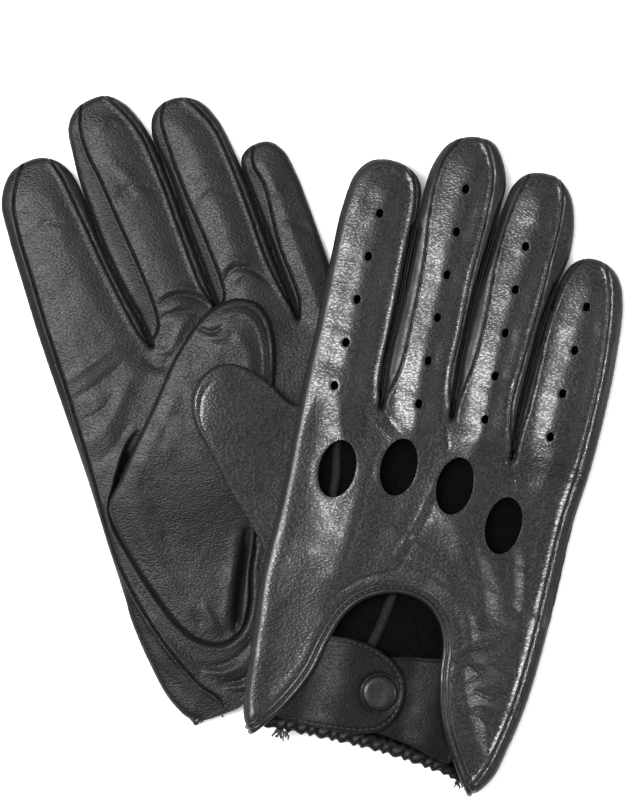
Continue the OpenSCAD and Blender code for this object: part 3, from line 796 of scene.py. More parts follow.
def shell(name, glove, points, tris, normals, materials, thick, painted_shade):
    """A sheet of leather with a rounded cut edge, from its outer face in pattern space."""
    used, local = np.unique(tris, return_inverse=True)
    tris = local.reshape(-1, 3)
    outer, up, painted_shade = points[used], normals[used], painted_shade[used]
    count = len(outer)
    rim = open_edges(tris)
    a, b = rim.T
    out = np.zeros_like(outer)
    away = np.cross(outer[b] - outer[a], up[a])
    np.add.at(out, a, away)
    np.add.at(out, b, away)
    out = out / np.maximum(np.linalg.norm(out, axis=1)[:, None], 1e-9)
    ids = np.unique(rim)
    number = np.full(count, -1)
    number[ids] = np.arange(len(ids)) + 2 * count
    middle = outer[ids] - up[ids] * thick * 0.5 + out[ids] * CUT_ROUND
    ma, mb = number[a], number[b]
    strips = [(b, a, ma), (b, ma, mb), (mb, ma, a + count), (mb, a + count, b + count)]
    cut = np.vstack([np.stack(strip, 1) for strip in strips])
    verts = np.vstack([outer, outer - up * thick, middle])
    faces = np.vstack([tris, tris[:, ::-1] + count, cut])
    # slit bottoms take the black flesh material: painted shade
    deep = painted_shade[tris].min(axis=1) > SLIT_SHADE_LIMIT
    flesh_or_shade = np.concatenate([deep, np.ones(len(tris)), np.zeros(len(cut))])
    piece = glove_mesh(name, glove, verts, faces, materials, np.vstack([up, -up, out[ids]]), flesh_or_shade)
    # the shade attribute: painted shade that the leather material mixes into its colour
    shade = np.full(len(verts), CUT_PAINTED_SHADE, np.float32)
    shade[:count] = painted_shade
    piece.data.attributes.new("painted_shade", "FLOAT", "POINT").data.foreach_set("value", shade)
    return piece


def tube_faces(rings, sides, first=0):
    """Faces of a tube through rings of points, closed at both ends."""
    faces = []
    for k in range(rings - 1):
        p, q = first + k * sides, first + (k + 1) * sides
        for j in range(sides):
            n = (j + 1) % sides
            faces.append((p + j, p + n, q + n, q + j))
    faces.append(tuple(first + j for j in range(sides))[::-1])
    faces.append(tuple(first + (rings - 1) * sides + j for j in range(sides)))
    return faces


def sweep(name, glove, path, profile, material):
    """A tube whose cross-section is profile(share, index), a list of (sideways, up) points."""
    path = np.array(path, float)
    ahead = np.gradient(path, axis=0)
    ahead /= np.linalg.norm(ahead, axis=1)[:, None]
    side = np.cross(ahead, UP)
    side /= np.linalg.norm(side, axis=1)[:, None]
    lift = np.cross(side, ahead)
    rings = []
    for k, p in enumerate(path):
        section = np.array(profile(k / (len(path) - 1), k))
        rings.append(p + section[:, :1] * side[k] + section[:, 1:] * lift[k])
    faces = tube_faces(len(path), len(rings[0]))
    return glove_mesh(name, glove, np.vstack(rings), faces, [material])


def circle(radius, count):
    """Points of a round cross-section."""
    a = np.linspace(0, 2 * math.pi, count, endpoint=False)
    return np.stack([radius * np.cos(a), radius * np.sin(a)], axis=1)


def join(name, pieces):
    """One object from several."""
    bpy.ops.object.select_all(action="DESELECT")
    for p in pieces:
        p.select_set(True)
    bpy.context.view_layer.objects.active = pieces[0]
    bpy.ops.object.join()
    pieces[0].name = name
    return pieces[0]


def settle(piece, body=None, node=None):
    """Hides the CAD node that a piece replaces and attaches the piece to the body it rides."""
    if node:
        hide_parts(node)
    if body:
        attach(piece, body)


def bend(piece, glove, start, end, z):
    """Turns two flat points into world points, which nothing uses, and bakes the piece's transform into
    its mesh.
    """
    ends = glove.world([[*start, z], [*end, z]])
    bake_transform(piece)


def bend_at(piece, glove, cut, reach, z):
    """Passes bend the start and end of a blend over a distance reach beyond its cut; bend only bakes
    the piece's transform.
    """
    a, b, ahead = cut_frame(cut)
    start = (a + b) / 2 + ahead * BEND_GAP
    bend(piece, glove, start, start + ahead * reach, z)


# ---------------------------------------------------------------- materials
def recipe(name):
    """A new material, a function that adds nodes to it and one that feeds its shader."""
    mat = bpy.data.materials.new(name)
    mat.use_nodes = True
    tree = mat.node_tree

    def feed(node, inputs):
        for key, value in inputs.items():
            if isinstance(value, bpy.types.NodeSocket):
                tree.links.new(value, node.inputs[key])
            else:
                node.inputs[key].default_value = value

    def add(kind, output, inputs, **settings):
        node = tree.nodes.new("ShaderNode" + kind)
        for key, value in settings.items():
            setattr(node, key, value)
        feed(node, inputs)
        return node.outputs[output]

    return mat, add, lambda inputs: feed(tree.nodes["Principled BSDF"], inputs)


def ramp(add, factor, colour, dark, light):
    """A colour from darker to lighter; each end is a place on the ramp and a strength."""
    tint = add("ValToRGB", "Color", {"Fac": factor})
    for element, (place, strength) in zip(tint.node.color_ramp.elements, (dark, light)):
        element.position = place
        element.color = tuple(c * strength for c in colour) + (1,)
    return tint


def leather(name, lean, colour, rough, grain_deep=0.00013, cell=0.9, gloss=0.45, level=0.42,
            matt=0.52):
    """Black nappa: pebbled grain turned by lean degrees, uneven gloss, fine pores. Between the
    pebbles it is rougher and has less coat. Where the shade attribute is high it is also rougher,
    has less coat and its colour is mixed towards black: painted shade."""
    mat, add, shader = recipe(name)
    where = add("TexCoord", "Object", {})
    place = add("Mapping", "Vector", {
        "Vector": where, "Rotation": (0, 0, math.radians(lean)), "Scale": (0.8, 1.15, 1)})
    warp = add("TexNoise", "Color", {"Vector": place, "Scale": 420, "Detail": 2})
    shift = add("VectorMath", "Vector", {0: warp, 1: (0.0007,) * 3, 2: place}, operation="MULTIPLY_ADD")
    pebble = add("TexVoronoi", "Distance", {"Vector": shift, "Scale": 1000 / cell})
    round_off = add("Math", "Value", {0: pebble, 1: 2.0}, operation="POWER")
    creep = add("TexNoise", "Fac", {"Vector": place, "Scale": 230, "Detail": 2})
    fine = add("TexNoise", "Fac", {"Vector": where, "Scale": 2600, "Detail": 3})
    worn = add("TexNoise", "Fac", {"Vector": where, "Scale": 60, "Detail": 3})
    shade_paint = add("Attribute", "Fac", {}, attribute_name="painted_shade")

    relief = add("Bump", "Normal", {"Height": creep, "Distance": 0.0001, "Strength": 0.8})
    relief = add("Bump", "Normal", {
        "Height": round_off, "Distance": grain_deep, "Strength": 1.0, "Normal": relief}, invert=True)
    relief = add("Bump", "Normal", {
        "Height": fine, "Distance": 0.000012, "Strength": 0.8, "Normal": relief})
    tint = ramp(add, worn, colour, (0.3, 0.8), (0.75, 1.2))
    # painted shade: the colour is mixed towards black where the shade attribute is high
    shade = add("Mix", 2, {0: shade_paint, 6: tint, 7: (0.001, 0.001, 0.001, 1)}, data_type="RGBA")
    polish = add("MapRange", "Result", {
        "Value": creep, "From Min": 0.3, "From Max": 0.7, "To Min": rough - 0.05,
        "To Max": rough + 0.07})
    crease = add("MapRange", "Result", {
        "Value": pebble, "From Min": 0.34, "From Max": 0.62, "To Max": matt},
        interpolation_type="SMOOTHSTEP")
    mask = add("Math", "Value", {0: crease, 1: shade_paint}, operation="MAXIMUM")
    dull = add("Math", "Value", {0: polish, 1: mask}, operation="MAXIMUM")
    film = add("MapRange", "Result", {"Value": mask, "To Min": gloss, "To Max": 0.0})
    shader({"Base Color": shade, "Normal": relief, "Roughness": dull, "Coat Weight": film,
            "Specular IOR Level": level, "Coat Roughness": 0.2})
    return mat


def plain(name, colour, rough, metal=0.0, scale=900.0, deep=0.00005, sheen=0.0, level=0.5):
    """Fibres, thread, cut edges and metal: one colour broken up by fine noise."""
    mat, add, shader = recipe(name)
    where = add("TexCoord", "Object", {})
    grit = add("TexNoise", "Fac", {"Vector": where, "Scale": scale, "Detail": 3})
    tint = ramp(add, grit, colour, (0.35, 0.65), (0.7, 1.25))
    relief = add("Bump", "Normal", {"Height": grit, "Distance": deep, "Strength": 0.8})
    shader({"Base Color": tint, "Normal": relief, "Roughness": rough, "Metallic": metal,
            "Sheen Weight": sheen, "Specular IOR Level": level})
    return mat


def paper():
    """White sweep of paper with a faint tooth."""
    mat, add, shader = recipe("paper_floor")
    tooth = add("TexNoise", "Fac", {"Scale": 900})
    tint = add("MapRange", "Result", {"Value": tooth, "To Min": 0.93, "To Max": 0.96})
    shader({"Base Color": tint, "Roughness": 0.8, "Specular IOR Level": 0.2})
    return mat


LEATHERS = {
    "right": leather("nappa_right", 12, (0.0108, 0.0108, 0.0112), 0.25),
    "left": leather("nappa_left", -20, (0.0075, 0.0075, 0.0079), 0.36, 0.00013, 0.75, 0.06, 0.2, 0.44),
}
BINDING = leather("binding_leather", 12, (0.006, 0.006, 0.006), 0.32, 0.00003, 0.7, 0.22, 0.34)
STRAP_LOOK = leather("strap_leather", 12, (0.003, 0.003, 0.003), 0.40, 0.00008, 0.8, 0.04, 0.16)
HEM_LOOK = leather("hem_leather", 12, (0.003, 0.003, 0.003), 0.45, 0.00003, 0.7, 0.0, 0.2)
# a darker, duller copy of the nappa for the right glove's fourchettes: painted shade on the fingers'
# sides
SHADED_SIDES = leather("fourchette_leather", 12, (0.008, 0.008, 0.0084), 0.34, 0.00008, 0.8, 0.25, 0.36)
# the leather's own black flesh side, and painted shade at the slits' bottoms
FLESH_AND_SHADE = plain("flesh_side_and_shade", (0.002, 0.002, 0.002), 0.95, level=0.03)
THREAD = plain("black_thread", (0.02, 0.02, 0.02), 0.55, scale=3000)
INSIDE = plain("inside_leather", (0.008, 0.008, 0.008), 0.8, level=0.15, deep=0.0003)
METAL = plain("satin_metal", (0.55, 0.55, 0.57), 0.3, metal=1.0, scale=400, deep=0.00001)
WEBBING = plain("woven_elastic", (0.02, 0.02, 0.02), 0.8, scale=1500, deep=0.0001, sheen=0.2)


# ---------------------------------------------------------------- leather panels
SAG_SHARE = 0.8          # of the way down to the table
SAG_SLOPE = (0.068, 0.030)  # how much lower the upper glove lies for each mm of x and of y
SAG_LIMIT = 9.0


def sag(glove, points):
    """The upper glove's little side hangs down towards the table beside the lower glove."""
    if glove is not RIGHT:
        return points
    x, y = points[:, 0], points[:, 1]
    clear = glove.offset[2] - SAG_SLOPE[0] * x - SAG_SLOPE[1] * y
    points = points.copy()
    points[:, 2] -= np.clip(clear, 0, SAG_LIMIT) * SAG_SHARE * ease(x, 14, 56) * (1 - ease(y, 60, 190))
    return points


def build_glove(glove):
    """Both faces of a glove as one skin, cut into its panels."""
    back, palm = Sheet(glove, "back"), Sheet(glove, "palm")
    points = np.vstack([np.column_stack([sheet.xy, sheet.z]) for sheet in (back, palm)])
    tris = np.vstack([back.tris, palm.tris[:, ::-1] + len(back.xy)])
    names = np.concatenate([back.names, palm.names])
    painted_shade = np.concatenate([back.painted_shade, palm.painted_shade])
    key = np.round(points * [200, 200, 50]).astype(int)
    _, firsts, group = np.unique(key, axis=0, return_index=True, return_inverse=True)
    points, painted_shade, tris = points[firsts], painted_shade[firsts], group.ravel()[tris]
    a, b, c = tris.T
    whole = (a != b) & (b != c) & (c != a)
    tris, names = tris[whole], names[whole]
    points = sag(glove, points)
    normals = vertex_normals(points, tris)
    for panel in sorted(set(names)):
        node = glove.name + "_" + panel
        # the right glove's fourchettes take the darker copy, painted shade
        look = [SHADED_SIDES if glove is RIGHT and "fourchette" in panel else LEATHERS[glove.name], FLESH_AND_SHADE]
        mine = tris[names == panel]
        piece = shell(node + "_leather", glove, points, mine, normals, look, LEATHER, painted_shade)
        settle(piece, node=node)
        finger = panel.split("_")[0]
        if finger in FINGERS:
            cut = CUTS[glove.name][FINGERS.index(finger)]
            bend_at(piece, glove, cut, FINGER_BEND, glove.height / 2)
        else:
            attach(piece, glove.name + "_hand")
    return back


# ---------------------------------------------------------------- thumbs
THUMB_LOOP = {
    "right": [(-42, 64), (-46, 63.2), (-49.8, 66.5), (-58, 75.8), (-69, 87.9), (-78, 98),
              (-83.2, 104.2), (-86.3, 111.5), (-86, 118.7), (-82.3, 125.2), (-76.4, 128.4),
              (-69, 128), (-60.5, 124.6), (-54, 120.6), (-49.8, 119), (-46, 120), (-42, 121)],
    "left": [(-41.4, 86.4), (-34.7, 93.3), (-26.5, 102), (-14, 114.5), (-1, 128), (9.6, 136),
             (17.6, 139.8), (26.5, 140.2), (33, 136), (35.2, 129), (34, 120), (28, 104),
             (18, 83), (3.3, 55.3), (-1.6, 46.5), (-6, 35.5), (-12, 27.5), (-20, 25),
             (-28, 29.3), (-33, 37), (-37, 49.5), (-40.3, 64), (-42.4, 79.5)],
}
# The line across the thumb's root, which splits the gusset from the front and back.
THUMB_CUT = {"right": ((-50, 60), (-50, 126)), "left": ((-34.7, 93.3), (3.3, 55.3))}
# Points, height and width, as for the gloves' folds.
THUMB_FOLDS = {
    "right": [
        ([(-52, 71), (-66, 86.6), (-77, 99), (-82.4, 107), (-83, 116), (-79.6, 122.6)], -0.25, 0.7),
        ([(-55, 82), (-60, 94), (-64, 106)], 0.3, 3.0),
        ([(-54, 108), (-62, 113), (-70, 113)], 0.2, 2.4),
    ],
    "left": [
        ([(2.6, 62), (-3.2, 51), (-9.6, 38.5), (-14.6, 27.6)], -3.4, 1.15),
        ([(-1.8, 61.5), (-7, 51), (-13, 40), (-18, 30)], 0.6, 1.8),
        ([(4.4, 57), (-0.5, 48), (-6.4, 36.6), (-11, 29)], 0.5, 1.3),
        ([(20, 138), (28, 136.6), (32.4, 131), (32.4, 122), (28.6, 109)], -0.75, 0.5),
        ([(19, 136), (26.6, 134.4), (30, 129.6), (30, 121), (26, 109)], 0.4, 0.8),
        ([(10, 135), (14.6, 131.6), (19.6, 132.6)], -0.7, 0.9),
        ([(12, 131), (16, 128.6), (21, 129.4)], 0.35, 1.2),
        ([(22, 130), (24, 120), (21, 108)], 0.5, 2.4),
        ([(-35, 90), (-33.4, 74), (-31.6, 56), (-27, 40)], 0.35, 2.6),
        ([(-27, 96), (-25, 80), (-25.6, 62)], -0.3, 2.4),
        ([(-22, 42), (-21, 34), (-20.6, 28)], 0.5, 1.6),
        ([(-26, 40), (-25.4, 33)], -0.35, 1.4),
        ([(-36, 84), (-22, 99), (-8, 113), (6, 127)], 0.3, 2.2),
    ],
}


def thumb_heights(glove, xy, far, folds):
    """Top and bottom of the thumb as it lies, and the painted shade in its deep creases, from 0 to 1.
    """
    if glove is RIGHT:
        out = ease(-xy[:, 0], 46, 64)
        base, low = 1.7 + 1.9 * out, 0.5 + 1.2 * out
        tall = 3.2 + 4.2 * ease(-xy[:, 0], 46, 84) - base
        wide, bulk, ridge = 2.2, 0.16, 0.55
    else:
        out = ease(xy[:, 0] * 0.5 + xy[:, 1] * 0.87, 34, 84)
        base, tall, low = 5.0 + 2.9 * out, 2.4 + 1.9 * out, 0.3 + 0.3 * out
        wide, bulk, ridge = 2.3, 0.3, 0.4
    rise = (1 - bulk) * tall * rounded(far, wide) + bulk * tall * swell(far, 14)
    dark = np.zeros(len(xy))
    for line, height, width in folds:
        gap, share, _ = line.near(xy, 3 * width)
        fold = bump(gap, width) * fade_ends(share)
        rise += height * fold * ease(far, 0, 1.2)
        # deep creases get painted shade
        if height < DEEP_FOLD:
            dark = np.maximum(dark, fold)
    rise += ridge * bump(far - 1.1, 0.6) * ease(far, 0, 0.5)
    wrinkles = 0.3 * noise(xy, 15, 5) + 0.12 * noise(xy, 6, 6) + 0.05 * noise(xy, 3, 7)
    rise += ease(far, 0.5, 4) * wrinkles
    shut = ease(far, -0.01, 0.02)
    return base + np.maximum(rise, 0) * shut, base - low * rounded(far, 2.0) * shut, dark


def build_thumb(glove):
    """A thumb: the gusset rides the hand; the front and back beyond the cut go to bend_at, which only
    bakes their transforms.
    """
    name = glove.name
    loop = smooth(THUMB_LOOP[name], 1.0, closed=True)
    rim = Line(loop, closed=True)
    folds = fold_lines(THUMB_FOLDS[name])
    rows = rim.rows((0.25, 0.6, 1.1, 1.8, 2.8), 0.9, (-1, 1))
    for line, _, width in folds:
        if width < FINE_FOLD:
            rows += line.rows([share * width for share in (0, 0.4, 0.9, 1.6)], 0.9)
    xy, tris = triangulate(loop, [], [resample(THUMB_CUT[name], 1.2)], rows, 1.2)
    far, _, _ = rim.near(xy)
    top, bottom, dark = thumb_heights(glove, xy, far, folds)
    count = len(xy)
    panels = ["thumb_gusset", "thumb_back", "thumb_front"]
    if glove is LEFT:
        top, bottom, tris = glove.height - top, glove.height - bottom, tris[:, ::-1]
        panels = ["thumb_gusset", "thumb_front", "thumb_back"]
    points = np.vstack([np.column_stack([xy, top]), np.column_stack([xy, bottom])])
    weld = np.arange(2 * count)
    on_rim = np.flatnonzero(far < 0.02)
    weld[on_rim + count] = on_rim
    faces = weld[np.vstack([tris, tris[:, ::-1] + count])]
    normals = vertex_normals(points, faces)
    a, _, ahead = cut_frame(THUMB_CUT[name])
    beyond = ((points[faces].mean(axis=1)[:, :2] - a) @ ahead) > 0
    is_up = np.arange(len(faces)) < len(tris)
    dark = np.concatenate([dark, np.zeros(count)])
    for panel, mine in zip(panels, (~beyond, beyond & is_up, beyond & ~is_up)):
        node = name + "_" + panel
        piece = shell(node + "_leather", glove, points, faces[mine], normals,
                      [LEATHERS[name], FLESH_AND_SHADE], THUMB_LEATHER, dark)
        settle(piece, node=node)
        if panel == "thumb_gusset":
            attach(piece, name + "_hand")
        else:
            bend_at(piece, glove, THUMB_CUT[name], THUMB_BEND, 3)


# ---------------------------------------------------------------- wrist
BIND_PROFILE = [(1.5, -0.9), (1.8, -0.2), (1.55, 0.55), (0.85, 1.0), (0.1, 0.9), (-0.4, 0.45),
                (-0.62, 0.18), (-0.9, 0.45), (-1.45, 0.6), (-2.1, 0.35), (-2.5, -0.15),
                (-2.3, -0.6), (-1.0, -1.2), (0.6, -1.35)]
TAB_TOP = {"right": 7.45, "left": 5.3}
SNAP_AT = (0.4, 24.6)
STRAP_FOLD = (-23.8, 23.8)          # where the strap bends, and the way from there to its end
STRAP_WAY = (0.94, -0.34)
STRAP_REACH = 6
TAB = [(-34, 9.6), (-30, 8.2), (-17.4, 8), (-3.6, 9), (3.6, 11.6), (8, 16.7), (9.5, 23.5),
       (8.3, 30.6), (3.8, 36.2), (-4.6, 40.3), (-12.3, 41.6), (-20, 41.2), (-24.2, 40),
       (-26.5, 33), (-30, 23), (-34.4, 14)]
UNDER = [(-11, 11.4), (1.7, 10.4), (16, 8.2), (30.6, 5.4), (31, 10), (27, 19), (23.9, 30),
         (22.8, 41), (16.1, 40.5), (8, 39.4), (1.5, 38), (-11, 38)]
CAP_SECTION = [(0, 1.22), (1.6, 1.24), (3.2, 1.32), (4.4, 1.36), (5.1, 1.28), (5.6, 1.08),
               (6.0, 0.72), (6.2, 0.3), (6.25, -0.1), (6.1, -0.5)]
CAP_POINTS = 48          # round the snap cap
HEM_PATH = [(-38.5, 5.4), (-30, 7), (-10, 7.3), (6, 6.6), (20, 5), (30, 3), (36, 0)]
HEM_STEP, HEM_GATHER = 0.35, 3.9
HEM_WIDE, HEM_TALL = 2.7, 1.9
HEM_MIDDLE = {"right": 2.3, "left": 4.6}
ELASTIC = [(-1.5, -0.35), (1.5, -0.35), (1.6, 0), (1.5, 0.35), (-1.5, 0.35), (-1.6, 0)]
INNER_SEAMS = [[(-34, 118), (-32.4, 108.7), (-30.2, 98), (-29.6, 88), (-27, 76)],
               [(0, 70), (-1.7, 58), (-3.4, 48), (-6, 38), (-9, 28)]]
INNER_RIDGE = [(-2, -0.7), (2, -0.7), (1.5, 0.1), (0.8, 1.3), (0.0, 1.6), (-0.8, 1.5), (-1.6, 0.2)]
THREAD_CORNERS = [(-30.5, 4.6), (36.5, 0.2)]
THREAD_ENDS, THREAD_LEAN = 14, -1.6  # strands at each corner, and the way they point, in radians
STITCH_SIDES, STITCH_RINGS = 8, 5


def stitches(path, pitch, long, thick):
    """Short threads laid end to end along a path, each one dipping into the leather."""
    path = resample(path, pitch)
    verts, faces = [], []
    for a, b in zip(path[:-1], path[1:]):
        middle, ahead = (a + b) / 2, (b - a) / np.linalg.norm(b - a)
        side = np.cross(ahead, UP)
        side /= np.linalg.norm(side)
        lift = np.cross(side, ahead)
        faces += tube_faces(STITCH_RINGS, STITCH_SIDES, len(verts))
        for t in np.linspace(-1, 1, STITCH_RINGS):
            size = thick * (0.25 + 0.75 * math.sqrt(1 - 0.98 * t * t))
            dip = -0.5 * thick * t * t
            for across, rise in circle(size, STITCH_SIDES):
                verts.append(middle + ahead * t * long / 2 + side * across + lift * (dip + rise))
    return np.array(verts), faces


def fold_with_strap(glove, piece):
    """Passes bend the strap's fold line; bend only bakes the piece's transform."""
    start, way = np.array(STRAP_FOLD), np.array(STRAP_WAY)
    bend(piece, glove, start - way, start + STRAP_REACH * way, TAB_TOP[glove.name])


def thread_piece(name, glove, parts):
    """Several runs of stitches as one piece."""
    verts, faces = [], []
    for v, f in parts:
        first = sum(len(x) for x in verts)
        verts.append(v)
        faces += [tuple(i + first for i in face) for face in f]
    return glove_mesh(name, glove, sag(glove, np.vstack(verts)), faces, [THREAD])


def slab(name, glove, outline, top_of, thick, round_off, rows_at, extra_rows=()):
    """A padded piece of strap leather: a top given by top_of(xy, far), a flat back, round edges."""
    loop = smooth(outline, 0.8, closed=True)
    rim = Line(loop, closed=True)
    rows = rim.rows((0.2, 0.5, 0.9, *rows_at), 0.8, (-1, 1)) + list(extra_rows)
    xy, tris = triangulate(loop, [], [], rows, 1.1)
    far, _, _ = rim.near(xy)
    drop = round_off * (1 - rounded(far, round_off))
    top = top_of(xy, far) - drop
    inside_far = far + 50    # far from the edge: leaves out the relief along it
    bottom = np.minimum(top_of(xy, inside_far) - thick + drop, top - 0.02)
    count = len(xy)
    points = np.vstack([np.column_stack([xy, top]), np.column_stack([xy, bottom])])
    a, b = open_edges(tris).T
    side = [np.stack([b, a, a + count], 1), np.stack([b, a + count, b + count], 1)]
    faces = np.vstack([tris, tris[:, ::-1] + count, *side])
    points = sag(glove, points)
    return glove_mesh(name, glove, points, faces, [STRAP_LOOK], vertex_normals(points, faces))


def build_arch(glove, back):
    """The bound edge of the arch, with its two rows of stitches."""
    name, right = glove.name, glove is RIGHT
    flat = resample(arch_line(glove), 0.9)
    z = back.heights(flat)[0] - (0.2 if right else 1.0)
    path = sag(glove, np.column_stack([flat, z]))
    piece = sweep(name + "_arch_binding_piping", glove, path, lambda share, k: BIND_PROFILE, BINDING)
    settle(piece, name + "_hand", name + "_arch_binding")
    ahead = np.gradient(flat, axis=0)
    ahead /= np.linalg.norm(ahead, axis=1)[:, None]
    inward = np.stack([ahead[:, 1], -ahead[:, 0]], axis=1)
    groove = np.column_stack([flat - inward * 0.62, z + 0.42])[3:-3]
    beside = flat - inward * 3.3
    outer_z = back.heights(beside)[0] + (0.12 if right else -0.05)
    outer = np.column_stack([beside, outer_z])[6:-6]
    parts = [stitches(groove, 2.3, 1.9, 0.27), stitches(outer, 2.5, 1.9, 0.22)]
    settle(thread_piece(name + "_arch_stitches", glove, parts), name + "_hand")


def build_tab(glove):
    """The strap tab, with a hollow round its snap and a row of stitches."""
    name = glove.name

    def tab_height(xy, far):
        r = np.linalg.norm(xy - np.array(SNAP_AT), axis=1)
        height = TAB_TOP[name] + 0.12 * noise(xy, 9, 11) - 0.16 * bump(far - 1.5, 0.35)
        height += 0.12 * bump(far - 2.6, 0.8)
        if glove is RIGHT:
            height -= 1.6 * (1 - ease(xy[:, 0], -27, -11))
        return height - 0.45 * bump(r - 6.8, 0.65) - 0.012 * np.maximum(0, xy[:, 0] - 2)

    rings = [oval(SNAP_AT, 2 * r, 2 * r, 0, int(8 * r)) for r in (5.8, 6.3, 6.7, 7.1, 7.6, 8.3)]
    piece = slab(name + "_strap_tab_leather", glove, TAB, tab_height, 1.7, 0.75,
                 (1.3, 1.5, 1.8, 2.5), rings)
    settle(piece, node=name + "_strap_tab")
    fold_with_strap(glove, piece)
    edge = Line(resample(smooth(TAB, 0.8, closed=True)[2:-14], 0.5))
    seam = edge.row(1.5, 0.5)
    seam = seam[seam[:, 0] > -29]
    seam = np.column_stack([seam, tab_height(seam, np.full(len(seam), 1.5)) + 0.02])
    piece = thread_piece(name + "_tab_stitches", glove, [stitches(seam, 2.2, 1.7, 0.2)])
    settle(piece)
    fold_with_strap(glove, piece)


def build_cap(glove):
    """The leather-covered dome of the snap, from its section."""
    x, y = SNAP_AT
    tab_top = TAB_TOP[glove.name]
    verts = [(x, y, tab_top + CAP_SECTION[0][1])]
    for radius, rise in CAP_SECTION[1:]:
        for j in range(CAP_POINTS):
            angle = 2 * math.pi * j / CAP_POINTS
            uneven = 0.03 * math.sin(3 * angle + radius)
            verts.append((x + radius * math.cos(angle), y + radius * math.sin(angle),
                          tab_top + rise + uneven))
    faces = []
    for j in range(CAP_POINTS):
        n = (j + 1) % CAP_POINTS
        faces.append((0, 1 + j, 1 + n))
        for p in range(1, 1 + (len(CAP_SECTION) - 2) * CAP_POINTS, CAP_POINTS):
            faces.append((p + j, p + CAP_POINTS + j, p + CAP_POINTS + n, p + n))
    faces.append(tuple(range(len(verts) - CAP_POINTS, len(verts)))[::-1])
    piece = glove_mesh(glove.name + "_snap_cap_dome", glove, np.array(verts), faces, [BINDING])
    settle(piece, glove.name + "_strap", glove.name + "_snap_cap")


def build_under_strap(glove):
    """The under strap, that the snap closes on."""
    low, high = (5.4, 6.9) if glove is RIGHT else (4.1, 5.4)

    def under_height(xy, far):
        height = low + (high - low) * ease(xy[:, 0], 10, 24)
        height += 0.2 * noise(xy, 11, 21) + 0.15 * noise(xy, 5, 22)
        return height - 0.22 * bump(far - 1.7, 0.4) + 0.12 * bump(far - 0.9, 0.4)

    name = glove.name + "_strap_base"
    piece = slab(name + "_leather", glove, UNDER, under_height, 1.5, 0.6, (1.4, 1.8, 2.4))
    settle(piece, glove.name + "_hand", name)


def gathers(share, k):
    """Cross-section of the hem: an oval that swells and shrinks along the cuff."""
    ring = circle(1, 16)
    run = HEM_STEP * k
    ends = 0.45 + 0.55 * min(1, 8 * share, 8 * (1 - share))
    angle = np.arctan2(ring[:, 1], ring[:, 0])
    slant = 1.1 * np.cos(angle) + 0.5 * math.sin(run * 0.7)
    size = ends * (1.0 + 0.19 * np.cos(2 * math.pi * (run + slant) / HEM_GATHER))
    return np.column_stack([HEM_WIDE * size * ring[:, 0], HEM_TALL * size * ring[:, 1]])


def build_hem(glove):
    """The gathered hem with its elastic."""
    name = glove.name
    hem = resample(smooth(HEM_PATH, 1), HEM_STEP)
    path = sag(glove, np.column_stack([hem, np.full(len(hem), HEM_MIDDLE[name])]))
    piece = sweep(name + "_hem_gathers", glove, path, gathers, HEM_LOOK)
    settle(piece, name + "_hand", name + "_hem_casing")
    piece = sweep(name + "_elastic_webbing", glove, path[16:-16:6], lambda share, k: ELASTIC, WEBBING)
    settle(piece, name + "_hand", name + "_elastic_band")


def build_inner_seams(glove):
    """Seam allowance inside the palm, seen through the arch and a knuckle opening."""
    inner = []
    for curve in INNER_SEAMS:
        line = resample(smooth(curve, 1), 1.0)
        spot = np.column_stack([line, np.full(len(line), 1.5)])
        inner.append(sweep(glove.name + "_inner", glove, spot, lambda share, k: INNER_RIDGE, INSIDE))
    settle(join(glove.name + "_inner_seam", inner), glove.name + "_hand")


def build_thread_ends(glove):
    """Loose, curled thread ends at the cuff's corners."""
    rng = np.random.default_rng(7)
    ends = []
    for corner in THREAD_CORNERS:
        for _ in range(THREAD_ENDS):
            angle = THREAD_LEAN + rng.uniform(-0.8, 0.8)
            reach = rng.uniform(1.6, 3.8)
            root = np.array([*corner, HEM_MIDDLE[glove.name]]) + rng.uniform(-1, 1, 3) * (1.8, 0.8, 0.8)
            tip = root + reach * np.array([math.cos(angle), math.sin(angle), rng.uniform(-0.15, 0.25)])
            belly = (root + tip) / 2 + rng.uniform(-1.3, 1.3, 3) * (1, 1, 0.3)
            t = np.linspace(0, 1, 11)[:, None]
            curve = (1 - t) ** 2 * root + 2 * t * (1 - t) * belly + t**2 * tip
            curl = rng.uniform(0, 6.3) + 2.2 * math.pi * t[:, 0]
            curve += 0.35 * np.column_stack([np.cos(curl), np.sin(curl), 0 * curl]) * t
            strand = circle(rng.uniform(0.22, 0.42), 6)
            curve = sag(glove, curve)
            ends.append(sweep(glove.name + "_end", glove, curve, lambda share, k: strand, THREAD))
    piece = join(glove.name + "_thread_ends", ends)
    settle(piece, glove.name + "_hand")


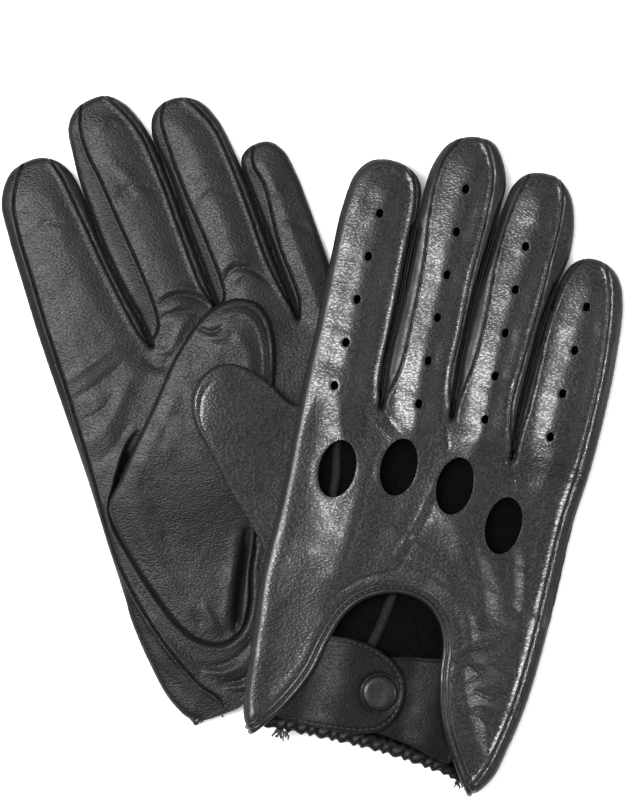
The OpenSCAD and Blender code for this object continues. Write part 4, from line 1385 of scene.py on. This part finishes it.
def build_wrist(glove, back):
    """Everything at the wrist, and the metal look of the snap's own CAD parts."""
    build_arch(glove, back)
    build_tab(glove)
    build_cap(glove)
    build_under_strap(glove)
    build_hem(glove)
    if glove is RIGHT:
        build_inner_seams(glove)
    build_thread_ends(glove)
    for part in ("snap_socket", "snap_stud", "snap_post"):
        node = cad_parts[glove.name + "_" + part]
        node.data.materials.clear()
        node.data.materials.append(METAL)


for GLOVE in (RIGHT, LEFT):
    BACK_SHEET = build_glove(GLOVE)
    build_thumb(GLOVE)
    build_wrist(GLOVE, BACK_SHEET)

# ---------------------------------------------------------------- camera, floor, light
LOOK_AT = (-0.0007, 0.0168)
LENS, SENSOR = 200.0, 36
VIEW_SIDE = 0.288        # long side of the view at the table, in metres
camera = bpy.data.objects.new("camera", bpy.data.cameras.new("camera"))
camera.data.lens = LENS
camera.data.sensor_width = SENSOR
camera.data.clip_end = 10
camera.location = (LOOK_AT[0], LOOK_AT[1], VIEW_SIDE * LENS / SENSOR)
bpy.context.scene.collection.objects.link(camera)
bpy.context.scene.camera = camera

FLOOR = 4                # half of the floor's side, in metres
corners = [(x * FLOOR, y * FLOOR, 0) for x, y in ((-1, -1), (1, -1), (1, 1), (-1, 1))]
floor = make_mesh("floor", corners, [(0, 1, 2, 3)], [paper()])


def softbox(name, place, size, power, mirrored=True):
    """A rectangular lamp that faces the origin; it can be hidden from reflections."""
    lamp = bpy.data.lights.new(name, "AREA")
    lamp.shape = "RECTANGLE"
    lamp.size, lamp.size_y = size
    lamp.energy = power
    box = bpy.data.objects.new(name, lamp)
    box.location = place
    box.visible_glossy = mirrored
    box.rotation_euler = (-Vector(place)).to_track_quat("-Z", "Y").to_euler()
    bpy.context.scene.collection.objects.link(box)


softbox("key_left", (-0.66, 0.15, 1.26), (0.26, 1.2), 32)
softbox("fill_right", (1.3, -0.1, 0.65), (0.20, 1.0), 6)
softbox("overhead", (0.1, 1.3, 1.3), (1.4, 0.3), 3)
softbox("floor_light", (0, 0, 1.9), (3.0, 3.0), 60, mirrored=False)
world = bpy.data.worlds.new("studio")
world.use_nodes = True
world.node_tree.nodes["Background"].inputs["Color"].default_value = (1, 1, 1, 1)
world.node_tree.nodes["Background"].inputs["Strength"].default_value = 0.12
bpy.context.scene.world = world
bpy.context.scene.view_settings.view_transform = "Standard"
